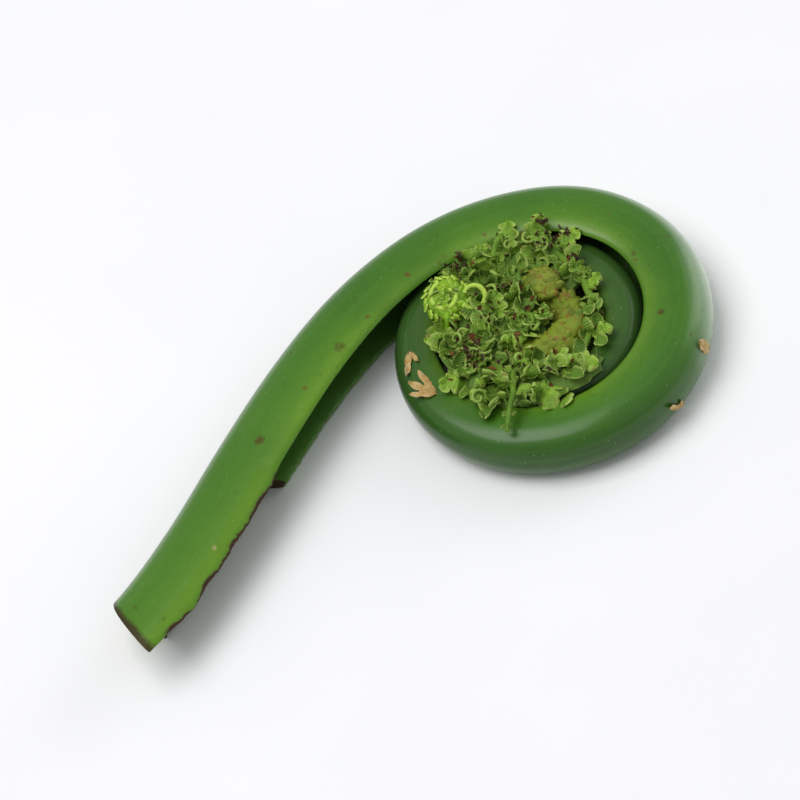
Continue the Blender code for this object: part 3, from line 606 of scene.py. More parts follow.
def mark_at(tree, spot, radius):
    """A ragged mark round a place on the surface: 0.75 in its middle and 0 beyond its radius."""
    centre = tuple((Vector(spot) - PLAN_MIDDLE) * METRES_PER_MM)
    away = node(tree, "VectorMath", node(tree, "TexCoord", out="Object"), centre, operation="DISTANCE")
    away = node(tree, "Math", away, radius * METRES_PER_MM, operation="DIVIDE")
    ragged = node(tree, "Math", away, object_noise(tree, 1.6, 4.0), operation="ADD")
    # The noise is about 0.5, so the sum is brought back to about 1 at the radius
    ragged = node(tree, "Math", ragged, 0.6, operation="MULTIPLY")
    return node(tree, "ValToRGB", ragged, stops=((0.60, 0.75), (0.86, 0.0)))


def finish_material(name, roughness, specular, sheen=0.0):
    """A Principled material with the constants that the export reads from its own sockets."""
    material = bpy.data.materials.new(name)
    material.use_nodes = True
    shader = material.node_tree.nodes["Principled BSDF"]
    for socket, value in (("Roughness", roughness), ("Specular IOR Level", specular), ("Sheen Weight", sheen),
                          ("IOR", IOR)):
        shader.inputs[socket].default_value = value
    return material, material.node_tree, shader


def dress(tree, shader, colour, height=None, millimetres=0.0):
    """Give the shader its colour, and a relief of so many millimetres where it has one."""
    tree.links.new(colour, shader.inputs["Base Color"])
    if height is not None:
        normal = node(tree, "Bump", Height=height, Strength=1.0, Distance=millimetres * METRES_PER_MM)
        tree.links.new(normal, shader.inputs["Normal"])


def stalk_skin(settings):
    """Fresh fern rachis: a smooth waxy cuticle with faint long fibres, paler and yellower along the lips."""
    material, tree, shader = finish_material("fresh waxy fern stalk", 0.30, 0.42)
    around, distance, upper, torn = attributes(tree, "around", "along", "upper", "torn")
    colour = node(tree, "ValToRGB", around, stops=(
        (0.0, settings.back_green), (0.20, settings.side_green), (0.38, settings.side_green),
        (0.50, settings.top_green), (0.585, settings.lip_green), (0.64, settings.top_green),
        # The darkest stop, on the channel's floor, is painted shade in the groove
        (0.70, settings.channel_green), (1.0, settings.channel_floor_shade)))
    # Long fibres of the rachis, 0.4 mm apart round it and centimetres long
    fibre_place = node(tree, "CombineXYZ", node(tree, "Math", distance, 0.06, operation="MULTIPLY"),
                       node(tree, "Math", around, 22.0, operation="MULTIPLY"), upper)
    fibres = node(tree, "TexNoise", Vector=fibre_place, Scale=1.0, Detail=4.0)
    mottle = object_noise(tree, 1.3, 4.0, 0.7)
    colour = lay(tree, colour, "#2f6119", object_noise(tree, 0.10), (0.40, 0.0), (0.66, 0.4))
    # The bend's back: greyer wax bloom with painted sheen, a painted pale highlight on its outer flank, and
    # painted deep green shade beyond it
    bend = node(tree, "Math", distance, BEND_SPAN, operation="DIVIDE")
    for over, back_stops, factor, stops in (
            # Greyer bloom of wax in patches, partly painted sheen: the grey reflection on the lower outer
            # band
            ("#55784a", ((0.05, 0.5), (0.34, 0.0)), object_noise(tree, 0.16), ((0.35, 0.2), (0.65, 1.0))),
            # Painted highlight: the pale reflection of the bright floor along the outer flank of the bend
            ("#d6e6cf", ((0.06, 0.95), (0.26, 0.0)), bend,
             ((0.44, 0.0), (0.52, 1.0), (0.64, 1.0), (0.72, 0.0))),
            # Painted shade: deep green on the lower outer flank further along the bend
            ("#1e4408", ((0.10, 0.6), (0.36, 0.0)), bend, ((0.70, 0.0), (0.78, 1.0)))):
        back = node(tree, "ValToRGB", around, stops=back_stops)
        where = node(tree, "ValToRGB", factor, stops=stops)
        colour = lay(tree, colour, over, node(tree, "Math", back, where, operation="MULTIPLY"))
    # The second turn lies in the shade of the first and is greyer
    coil = node(tree, "Math", distance, COIL_SPAN, operation="DIVIDE")
    colour = lay(tree, colour, "#33452a", coil, (0.66, 0.0), (0.74, 0.5))
    colour = lay(tree, colour, "#5f8a3c", fibres, (0.45, 0.0), (0.8, 0.22))
    colour = lay(tree, colour, "#2a5214", mottle, (0.48, 0.0), (0.8, 0.16))
    # The stem's end is a little yellower
    stem = node(tree, "Math", distance, STEM_SPAN, operation="DIVIDE")
    colour = lay(tree, colour, "#5b8c24", stem, (0.0, 0.35), (1.0, 0.0))
    # Red-brown specks a few tenths of a millimetre across, in patches, most of them beside the lip
    patch = node(tree, "Math", object_noise(tree, 0.22, 2.0), 0.50, operation="SUBTRACT", use_clamp=True)
    reach = node(tree, "Math", patch, 1.7, operation="MULTIPLY")
    inside = node(tree, "Math", reach, spots(tree, 0.42), operation="SUBTRACT")
    inside = node(tree, "ValToRGB", inside, stops=((0.0, 0.0), (0.12, 1.0)))
    near_lip = node(tree, "ValToRGB", around, stops=((0.30, 0.0), (0.46, 1.0), (0.60, 1.0), (0.66, 0.0)))
    specks = node(tree, "Math", inside, near_lip, operation="MULTIPLY")
    colour = lay(tree, colour, "#6e3a1c", node(tree, "Math", specks, 0.75, operation="MULTIPLY"))
    # Pale dust and a fine dark grain
    colour = lay(tree, colour, "#9db884", spots(tree, 0.75), (0.04, 0.35), (0.09, 0.0))
    colour = lay(tree, colour, "#24480e", object_noise(tree, 6.0, 2.0), (0.35, 0.16), (0.6, 0.0))
    scuff = node(tree, "ValToRGB", object_noise(tree, 0.34, 5.0, 0.7), stops=((0.645, 0.0), (0.70, 0.6)))
    for spot, radius in SCUFFS:
        scuff = node(tree, "Math", scuff, mark_at(tree, spot, radius), operation="MAXIMUM")
    colour = lay(tree, colour, "#4c3a12", scuff)
    colour = lay(tree, colour, "#b9a878", mark_at(tree, *PALE_MARK))
    # Oxidised edge beside the knife cut and along the torn lip
    ragged = node(tree, "Math", distance, node(tree, "Math", mottle, 0.6, operation="MULTIPLY"),
                  operation="SUBTRACT")
    colour = lay(tree, colour, "#3a2410", ragged, (0.0, 0.9), (0.42, 0.0))
    torn = node(tree, "Math", torn, node(tree, "Math", mottle, 0.35, operation="MULTIPLY"), operation="ADD")
    torn = node(tree, "ValToRGB", torn, stops=((0.45, 0.0), (0.80, 1.0)))
    colour = lay(tree, colour, lay(tree, "#20150a", "#4c3018", mottle), torn)
    waxy = node(tree, "ValToRGB", around, stops=((0.05, 0.18), (0.30, 0.28), (0.64, 0.28), (0.74, 0.7)))
    tree.links.new(lay(tree, waxy, 0.85, torn), shader.inputs["Roughness"])
    rough = node(tree, "Math", node(tree, "Math", mottle, 0.5, operation="MULTIPLY"),
                 node(tree, "Math", torn, 0.25, operation="ADD"), operation="MULTIPLY")
    fibrous = node(tree, "Math", fibres, 0.35, operation="MULTIPLY")
    height = node(tree, "Math", fibrous, rough, operation="ADD")
    dress(tree, shader, colour, height, settings.relief)
    return material


def cut_rim():
    """The skin's edge at the knife cut, dried and oxidised to orange-brown."""
    material, tree, shader = finish_material("oxidised cut rim", 0.75, 0.3)
    patch = object_noise(tree, 1.8, 5.0, 0.7)
    colour = node(tree, "ValToRGB", patch, stops=((0.3, "#2f1a0a"), (0.55, "#6e3f18"), (0.8, "#a8743a")))
    dress(tree, shader, colour, patch, 0.08)
    return material


def cut_pith():
    """The cut pith: pale green and moist with two darker straps of vessels, browned towards its edge."""
    material, tree, shader = finish_material("moist cut pith", 0.45, 0.5)
    grain = spots(tree, 4.0)
    inward, upward = attributes(tree, "inward", "upward")
    # Each strap is a bow 0.5 mm wide that stands half way between the middle and the skin, 3.4 mm long
    square = node(tree, "Math", inward, inward, operation="MULTIPLY")
    bulge = node(tree, "Math", square, 0.10, operation="MULTIPLY")
    line = node(tree, "Math", node(tree, "Math", upward, operation="ABSOLUTE"), bulge, operation="ADD")
    bow = node(tree, "Math", node(tree, "Math", line, 1.9, operation="SUBTRACT"), operation="ABSOLUTE")
    middle = node(tree, "Math", node(tree, "Math", inward, 1.0, operation="ADD"), operation="ABSOLUTE")
    strap = node(tree, "Math", node(tree, "ValToRGB", bow, stops=((0.18, 1.0), (0.34, 0.0))),
                 node(tree, "Math", middle, 1.7, operation="LESS_THAN"), operation="MULTIPLY")
    colour = node(tree, "ValToRGB", object_noise(tree, 0.8, 4.0, 0.6),
                  stops=((0.3, "#7f9a48"), (0.6, "#a3b262"), (0.8, "#b99c5c")))
    colour = lay(tree, colour, "#5f7a32", grain, (0.1, 0.35), (0.5, 0.0))
    colour = lay(tree, colour, "#4a3316", node(tree, "Math", strap, 0.8, operation="MULTIPLY"))
    dress(tree, shader, colour, grain, 0.05)
    return material


def leaflet_skin(name, settings, sort, warm, roughness=0.55, dry_from=0.66):
    """Young leaflet: thin, matt and finely hairy, paler at its rolled edge, with slanting veins."""
    material, tree, shader = finish_material(name, roughness, 0.35)
    deep, body, rim = (getattr(settings, f"{sort}_{part}") for part in ("deep", "body", "rim"))
    edge, tint, run = attributes(tree, "edge", "tint", "run")
    colour = lay(tree, deep, body, tint, (0.0, 0.0), (1.0, 1.0))
    colour = lay(tree, colour, deep, object_noise(tree, 0.30, 4.0, 0.65), (0.42, 0.0), (0.64, 0.7))
    # Side veins leave the rib at a slant, five or six to a leaflet
    slant = node(tree, "Math", edge, 0.22, operation="MULTIPLY")
    slant = node(tree, "Math", run, slant, operation="SUBTRACT")
    vein = node(tree, "Math", node(tree, "Math", slant, 42.0, operation="MULTIPLY"), operation="SINE")
    colour = lay(tree, colour, rim, vein, (0.72, 0.0), (1.0, 0.3))
    colour = lay(tree, colour, rim, edge, (0.62, 0.0), (1.0, 0.8))
    dry = node(tree, "Math", object_noise(tree, 0.8), node(tree, "Math", edge, 0.08, operation="MULTIPLY"),
               operation="ADD")
    colour = lay(tree, colour, warm, dry, (dry_from, 0.0), (dry_from + 0.10, 0.7))
    height = node(tree, "Math", node(tree, "Math", vein, 0.25, operation="MULTIPLY"),
                  object_noise(tree, 3.5, 4.0, 0.6), operation="ADD")
    dress(tree, shader, colour, height, 0.10)
    return material


def dry_scale_skin(settings):
    """Dry papery scale: thin tan film, matt, with long fibres and darker patches."""
    material, tree, shader = finish_material("dry papery scale", 0.72, 0.3, sheen=0.15)
    fine = object_noise(tree, 5.0, 3.0, 0.6)
    colour = node(tree, "ValToRGB", object_noise(tree, 0.9, 4.0, 0.6), stops=(
        (0.30, settings.scale_dark), (0.50, settings.scale_tan), (0.72, settings.scale_pale)))
    dress(tree, shader, lay(tree, colour, "#776030", fine, (0.45, 0.0), (0.75, 0.4)), fine, 0.06)
    return material


def chaff_skin(settings):
    """Chaff: crumbs of dried scale, dull or warm brown, matt."""
    material, tree, shader = finish_material("dried chaff", 0.85, 0.2)
    patch = object_noise(tree, 1.1, 3.0, 0.6)
    dull, brown = (node(tree, "ValToRGB", patch, stops=((0.35, dark), (0.65, light)))
                   for dark, light in (("#3e3022", settings.chaff_dull), ("#4a2b17", settings.chaff_brown)))
    dress(tree, shader, lay(tree, dull, brown, *attributes(tree, "tint")))
    return material


def floor_paint():
    """Matt white board, a little uneven so that it isn't one flat grey."""
    material, tree, shader = finish_material("matt white board", 0.7, 0.25)
    patch = object_noise(tree, 0.02)
    dress(tree, shader, node(tree, "ValToRGB", patch, stops=((0.3, "#f6f6f8"), (0.7, "#fafafb"))))
    return material


# Pieces

def section_points(parts=3):
    """Upper half of the section as (inward, upward, around), from the back round the lip to the floor."""
    corners = [Vector(pair) for pair in SECTION_HALF]
    before = Vector((corners[1].x, -corners[1].y))
    after = Vector((corners[-2].x, -corners[-2].y))
    row = [before] + corners + [after]
    points = []
    for index in range(1, len(row) - 2):
        for step in range(parts):
            points.append(catmull(*row[index - 1:index + 3], step / parts))
    points.append(corners[-1])
    lengths = np.concatenate(([0.0], np.cumsum([(b - a).length for a, b in zip(points, points[1:])])))
    return [(point.x, point.y, length / lengths[-1]) for point, length in zip(points, lengths)]


def torn_lip(distance):
    """How far inwards the lower wall reaches: broken off beside the cut, whole beyond the tear."""
    ragged = TEAR_DEPTH + TEAR_RAGGED * (1.3 * noise.noise(Vector((distance * 0.9, 1.7, 0)))
                                         + 0.7 * noise.noise(Vector((distance * 3.1, 5.2, 0))))
    back = (distance - TEAR_LENGTH) / TEAR_STEP
    whole = along(LOWER_LIP, distance)
    return ragged + (whole - ragged) * smooth(back * 0.7 + 0.15) if back > -0.2 else ragged


def stalk_ring(shape, axis, distance, outline, wave):
    """One section of the stalk, placed across its axis and pressed flat where it touches the surface."""
    depth = along(HALF_DEPTH, distance)
    width = along(HALF_WIDTH, distance)
    centre = axis.at(distance)
    way = axis.way(distance)
    inward_way = Vector((way.y, -way.x))
    slant = max(1.0 - distance / CUT_CLEAR_LENGTH, 0.0)
    tear = torn_lip(distance)
    # Beside the tear the upper wall has rolled over, and its edge is frayed
    rolled = smooth((TEAR_LENGTH - distance) / 3.0) * smooth(distance / 3.0)
    fray = (noise.noise(Vector((distance * 0.35, 0.0, 9.0)))
            + 0.4 * noise.noise(Vector((distance * 1.6, 0.0, 4.0))))
    points = []
    marks = []
    for inward, upward, around in outline:
        torn = 0.0
        if upward < 0.0:
            bulge = 1.0 - ((abs(upward) - TEAR_MIDDLE) / (1.0 - TEAR_MIDDLE)) ** 2
            crumb = 0.05 * noise.noise(Vector((distance * 2.2, upward * 6.0, 3.0)))
            reach = tear + TEAR_BULGE * bulge + crumb
            torn = 1.0 if inward - reach > 0.02 and distance < TEAR_LENGTH + TEAR_STEP else 0.0
            inward = min(inward, reach)
        else:
            lip = max(1.0 - abs(around - LIP_PLACE) / LIP_SPREAD, 0.0)
            upward -= rolled * lip * (LIP_ROLL + LIP_FRAY * fray)
            inward += rolled * lip * LIP_FRAY * fray
            torn = rolled * min(1.6 * max(1.0 - abs(around - LIP_TORN - 0.02 * fray) / 0.045, 0.0), 1.0)
        swell = 1.0 + wave * noise.noise(Vector((distance * 0.11, inward * 0.8, upward * 0.8)))
        shift = -slant * (CUT_SLANT_TO_LIP * inward * depth + CUT_SLANT_TO_TOP * upward * width)
        place = centre + inward_way * (inward * depth * swell) + way * shift
        height = along(AXIS_HEIGHT, distance) + upward * width * swell
        points.append(Vector((place.x, place.y, max(height, 0.0))))
        marks.append((distance, around, torn, inward * depth, upward * width, math.copysign(1.0, upward)))
    verts = shape.ring(shape.bm, points)
    layers = [shape.bm.verts.layers.float[name] for name in shape.attributes]
    for vert, values in zip(verts, marks):
        for layer, value in zip(layers, values):
            vert[layer] = value
    return verts


def make_stalk(settings):
    """The stipe and the rachis of the coil: a channelled stem, cut at one end, its lower lip torn there."""
    axis = Axis()
    shape = Shape("along", "around", "torn", "inward", "upward", "upper")
    half = section_points()
    outline = half + [(inward, -upward, around) for inward, upward, around in reversed(half[1:-1])]
    rings = []
    distance = 0.0
    while distance < axis.end:
        rings.append(stalk_ring(shape, axis, distance, outline, settings.wave))
        distance += FINE_STEP if distance < TEAR_LENGTH + 2.0 else STEP
    shape.skin(shape.bm, rings)
    shape.close(shape.bm, rings[-1])
    # The knife cut: the skin's edge, and the pith a little sunk inside it
    cap = shape.close(shape.bm, rings[0])
    rim = bmesh.ops.inset_region(shape.bm, faces=cap, thickness=CUT_RIM, depth=-CUT_HOLLOW,
                                 use_even_offset=True)["faces"]
    for faces, material_index in ((rim, 1), (cap, 2)):
        for face in faces:
            face.material_index = material_index
    shape.finish("fiddlehead_stalk", [stalk_skin(settings), cut_rim(), cut_pith()], ("stalk",))


def tip_plan(part):
    """Centre, way and half sizes of the coiled tip at a part of its length."""
    turns = TIP_TURNS[0] + (TIP_TURNS[1] - TIP_TURNS[0]) * part
    plan = coil_plan(turns)
    way = (coil_plan(turns + 0.01) - coil_plan(turns - 0.01)).normalized()
    swell = math.sin(math.pi * min(max(part, 0.06), 0.95)) ** 0.35
    height = TIP_HEIGHT[0] + (TIP_HEIGHT[1] - TIP_HEIGHT[0]) * smooth(part * 2.2)
    return Vector((plan.x, plan.y, height)), way, TIP_HALF_DEPTH * swell, TIP_HALF_WIDTH * swell


def make_tip(settings):
    """The coiled tip of the frond, a soft knobbly roll wrapped in rows of small pressed leaflets."""
    shape = Shape("edge", "tint", "run")
    rng = random.Random(TIP_SEED)
    bm = shape.fresh()
    rings = []
    for step in range(TIP_SECTIONS):
        centre, way, depth, width = tip_plan(step / (TIP_SECTIONS - 1))
        side = Vector((way.y, -way.x, 0.0))
        points = []
        for index in range(TIP_SIDES):
            angle = 2 * math.pi * index / TIP_SIDES
            ray = side * math.cos(angle) * depth + Vector((0, 0, math.sin(angle) * width))
            # Low knobs in staggered rows, and a slower unevenness
            row = math.sin(2 * math.pi * (step / 6.0 + 0.5 * (index // 4 % 2)))
            knob = 0.06 * row * abs(math.sin(1.5 * angle))
            lump = 0.96 + knob + 0.09 * noise.noise((centre + ray) * 1.1)
            points.append(centre + ray * lump)
        rings.append(shape.ring(bm, points))
    shape.skin(bm, rings)
    shape.close(bm, rings[0])
    shape.close(bm, rings[-1])
    shape.mark(bm, bm.verts, tint=0.6, edge=0.3, run=0.5)
    shape.take(bm)
    # Leaflets in a spiral over the knob where the roll begins
    shape.cushion(*TIP_KNOB, 0.5, 0.16, grain=3.0)
    middle, (half_x, half_y, half_z) = TIP_KNOB
    for reach, angle in spiral(KNOB_LEAFLETS):
        ray = Vector((math.cos(angle), math.sin(angle), 0.0))
        rise = math.sqrt(1.0 - reach * reach)
        spot = Vector(middle) + Vector((ray.x * half_x * reach, ray.y * half_y * reach, half_z * rise))
        out = (ray * reach + UP * (rise + 0.2)).normalized()
        place = frame_on(spot, UP.cross(ray) + ray * 0.4, out) @ Matrix.Rotation(-0.08, 4, "Y")
        shape.blade(place, rng.uniform(1.0, 1.5), rng.uniform(1.0, 1.4), curl=rng.uniform(-1.2, -0.4),
                    cup=-0.4, tint=rng.uniform(0.2, 1.0), **KNOB_CUT)
    # Leaflets in staggered rings round the roll, each pressed back over the ring before
    for station in range(TIP_STATIONS):
        centre, way, depth, width = tip_plan((station + 0.5) / TIP_STATIONS)
        side = Vector((way.y, -way.x, 0.0))
        way = Vector((way.x, way.y, 0.0))
        for index in range(TIP_ROW):
            angle = 2 * math.pi * (index + 0.5 * (station % 2)) / TIP_ROW + rng.uniform(-0.12, 0.12)
            out = side * math.cos(angle) / depth + Vector((0, 0, math.sin(angle) / width))
            out.normalize()
            spot = centre + side * (depth * 0.95 * math.cos(angle))
            spot += Vector((0, 0, width * 0.95 * math.sin(angle)))
            head = -way * 0.9 + out.cross(way) * math.copysign(0.4, math.cos(angle)) * rng.uniform(-0.5, 1.4)
            place = frame_on(spot, head, out) @ Matrix.Rotation(math.radians(-rng.uniform(-2, 14)), 4, "Y")
            length = rng.uniform(0.9, 1.5)
            shape.blade(place, length, length * rng.uniform(0.75, 1.1), curl=rng.uniform(-0.9, 0.6), cup=-0.5,
                        tint=rng.uniform(0.2, 1.0), **TIP_CUT)
    skin = leaflet_skin("tight olive frond tip", settings, "tip", "#8a5a2c", dry_from=0.58)
    shape.finish("fiddlehead_tip", [skin], ("frond_tip",))


def coil_points(centre, radius, turns, turn_about, steps_a_turn=20, tightening=0.80):
    """Points along a small coil that winds inwards."""
    steps = max(10, int(turns * steps_a_turn))
    points = []
    for step in range(steps + 1):
        part = step / steps
        angle = 2 * math.pi * turns * part
        reach = radius * (1.0 - tightening * part)
        ray = Vector((reach * math.cos(angle), reach * math.sin(angle), 0.0))
        points.append(Vector(centre) + turn_about @ ray)
    return points


def thinning(thick, points, loss=0.4):
    """Radii along a coil's points that thin out towards its end."""
    return [thick * (1.0 - loss * index / len(points)) for index in range(len(points))]


def feathered(shape, points, radii, rng, up, length, tints):
    """A small rib with a pair of cut leaflets at every second point."""
    shape.tube(points, radii, sides=7, tint=0.45, edge=0.3, run=0.5)
    for index in range(1, len(points) - 1, 2):
        way = (points[index + 1] - points[index - 1]).normalized()
        side = way.cross(up).normalized()
        fade = 1.0 - 0.5 * index / len(points)
        for sign in (-1.0, 1.0):
            head = side * sign + way * rng.uniform(0.1, 0.7) + up * rng.uniform(-0.2, 0.5)
            normal = (up - head.normalized() * up.dot(head.normalized())).normalized()
            place = frame_on(points[index] + side * sign * radii[index] * 0.5, head, normal)
            reach = length * fade * rng.uniform(0.75, 1.25)
            shape.blade(place, reach, reach * rng.uniform(0.65, 0.95), curl=rng.uniform(-0.8, 2.2),
                        cup=rng.uniform(-0.6, 0.5), tint=rng.uniform(*tints), **RIB_CUT)


def fill_places(fill, rng):
    """The leaflets of the source's rule: places, lengths and widths, in its order of draws."""
    centre, radii, count, height, tilts, bare = fill
    for reach, angle in spiral(count):
        spot_x = centre[0] + radii[0] * reach * math.cos(angle)
        spot_y = centre[1] + radii[1] * reach * math.sin(angle)
        yaw = math.degrees(angle) + rng.uniform(-LEAFLET_SWING, LEAFLET_SWING)
        tilt = rng.uniform(*tilts)
        length = rng.uniform(*LEAFLET_LENGTH)
        width = length * rng.uniform(*LEAFLET_BREADTH)
        roll = rng.uniform(-LEAFLET_ROLL, LEAFLET_ROLL)
        if not (bare and bare[0] < spot_x < bare[1] and bare[2] < spot_y < bare[3]):
            yield blade_place((spot_x, spot_y, height), yaw, tilt, roll), length, width

def on_the_roll(spot):
    """Whether a place seen from above lies on the bare back of the coiled tip."""
    knob = (spot - Vector(TIP_KNOB[0][:2])).length < TIP_KNOB[1][0]
    return knob or any((spot - tip_plan(step / 20)[0].xy).length < TIP_HALF_DEPTH for step in range(2, 15))


def on_a_leaf(spot):
    """Whether a place seen from above lies on one of the broad leaves, which stay bare."""
    for foot, length, _, yaw, _, _ in UPPER_LEAVES[:BARE_LEAVES]:
        way = Vector((math.cos(math.radians(yaw)), math.sin(math.radians(yaw))))
        if (spot - Vector(foot[:2]) - way * length * 0.5).length < length * 0.36:
            return True
    return False


def taken(spot, young_clear):
    """Whether nothing small grows at a place: none is there, or it is high, on the roll or near the pinna."""
    return (spot is None or spot.z > SMALL_HEIGHT or on_the_roll(spot.xy)
            or (spot.xy - Vector(YOUNG_CORE[0][:2])).length < young_clear)


def seated(tree, spot_x, spot_y, start=ABOVE):
    """Where a line straight towards the object, from above or below it, meets a shape."""
    way = Vector((0.0, 0.0, math.copysign(1.0, -start)))
    return tree.ray_cast(Vector((spot_x, spot_y, start)), way)[0]


def make_upper_pinnae(settings):
    """The leaflets, ribs and small coiled pinnae of the upper face."""
    shape = Shape("edge", "tint", "run")
    fine = random.Random(UPPER_SEED + FINER)
    # The cores and the bed in the gap are dark: painted shade under the leaflets
    for centre, radii in (*UPPER_CORE, GAP_BED):
        shape.cushion(centre, radii, 0.0, 0.16)
    for ends, thick in UPPER_RIBS:
        points = [bezier(ends, step / RIB_STEPS) for step in range(RIB_STEPS + 1)]
        points = [point + wander(point * 0.45) * 0.35 for point in points]
        feathered(shape, points, taper(thick, RIB_STEPS, RIB_FINENESS), fine, UP, 1.25, (0.2, 0.9))
    for centre, radius, thick, turns, yaw, tilt in UPPER_CURLS:
        turn = lean_of(yaw, tilt)
        points = coil_points(centre, radius, turns, turn)
        feathered(shape, points, thinning(thick * CURL_FINENESS, points), fine, turn @ UP, 0.95, (0.5, 1.0))
    for index, (spot, length, width, yaw, tilt, roll) in enumerate(UPPER_LEAVES):
        shape.blade(blade_place(spot, yaw, tilt, roll), length, width, curl=fine.uniform(-0.6, 0.3),
                    cup=fine.uniform(-0.5, 0.2), tint=fine.uniform(0.85, 1.0), wave=0.9, seed=index,
                    **BROAD_CUT)
    for index, (place, length, width) in enumerate(fill_places(UPPER_FILL, random.Random(UPPER_SEED))):
        shape.blade(place, length, width, curl=fine.uniform(-0.6, 2.0), cup=fine.uniform(-0.8, 0.9),
                    tint=fine.uniform(0.2, 1.0), wave=0.9, seed=20 + index, **FILL_CUT)
    # Small leaflets, curled and half open, that stand on what lies below them
    (middle_x, middle_y), (half_x, half_y) = UPPER_FILL[:2]
    tree = BVHTree.FromBMesh(shape.bm)
    for reach, angle in spiral(settings.small_leaflets):
        spot = seated(tree, middle_x + 1.6 + (half_x + 2.2) * reach * math.cos(angle),
                      middle_y + (half_y + 1.0) * reach * math.sin(angle))
        yaw, tilt, roll, size, breadth, curl, cup, tint = draw(fine, 8)
        if taken(spot, LEAFLET_CLEAR) or on_a_leaf(spot.xy):
            continue
        place = blade_place(spot - UP * 0.2, 360 * yaw, -5 + 40 * tilt, 70 * roll - 35)
        length = 1.3 + 1.5 * size
        shape.blade(place, length, length * (0.6 + 0.35 * breadth), curl=-0.8 + 3.4 * curl,
                    cup=1.6 * cup - 0.8, tint=tint, **SMALL_CUT)
    # Tiny tight coils, the ends of side ribs
    for _ in range(settings.small_coils):
        share_x, share_y, size, turns, yaw, tilt, tint = draw(fine, 7)
        spot = seated(tree, middle_x + 1.0 + half_x * (2 * share_x - 1),
                      middle_y + half_y * (2 * share_y - 1))
        if taken(spot, COIL_CLEAR):
            continue
        points = coil_points(spot + UP * 0.3, 0.55 + 0.5 * size, 0.7 + 0.6 * turns,
                             lean_of(360 * yaw, 80 * tilt), 14)
        shape.tube(points, thinning(0.16 + 0.08 * tint, points), sides=6, tint=tint, edge=0.75, run=0.5)
    skin = leaflet_skin("young fern leaflet", settings, "leaf", DRY_LEAF)
    shape.finish("fiddlehead_pinnae_upper", [skin], ("pinnae_upper",))


def make_lower_pinnae(settings):
    """The leaflets of the lower face, which stop short of the surface."""
    shape = Shape("edge", "tint", "run")
    fine = random.Random(LOWER_SEED + FINER)
    # A dark core: painted shade under the lower leaflets
    shape.cushion(*LOWER_CORE, 0.1, 0.10)
    for index, (place, length, width) in enumerate(fill_places(LOWER_FILL, random.Random(LOWER_SEED))):
        shape.blade(place, length, width, curl=fine.uniform(-0.4, 0.5), cup=fine.uniform(-0.2, 0.4),
                    tint=fine.uniform(0.3, 1.0), wave=0.5, seed=60 + index, **LOWER_CUT)
    (middle_x, middle_y), (half_x, half_y) = LOWER_FILL[:2]
    tree = BVHTree.FromBMesh(shape.bm)
    for reach, angle in spiral(settings.lower_leaflets):
        spot = seated(tree, middle_x + (half_x + 0.8) * reach * math.cos(angle),
                      middle_y + (half_y + 0.8) * reach * math.sin(angle), BELOW)
        yaw, tilt, size, tint, cup, breadth = draw(fine, 6)
        if spot is None:
            continue
        place = blade_place(spot, 360 * yaw, 6 - 14 * tilt, 180 + 50 * breadth - 25)
        length = 1.4 + 1.5 * size
        shape.blade(place, length, length * (0.6 + 0.3 * breadth), curl=1.8 * tint - 0.4, cup=1.2 * cup - 0.6,
                    tint=tint, **SMALL_LOWER_CUT)
    # Whatever would reach the surface is pressed flatter, and stays a little above it
    for vert in shape.bm.verts:
        if vert.co.z < FLOOR_GAP + FLOOR_ROOM:
            vert.co.z = FLOOR_GAP + FLOOR_ROOM * math.exp((vert.co.z - FLOOR_GAP - FLOOR_ROOM) / FLOOR_ROOM)
    skin = leaflet_skin("young fern leaflet below", settings, "leaf", DRY_LEAF)
    shape.finish("fiddlehead_pinnae_lower", [skin], ("pinnae_lower",))


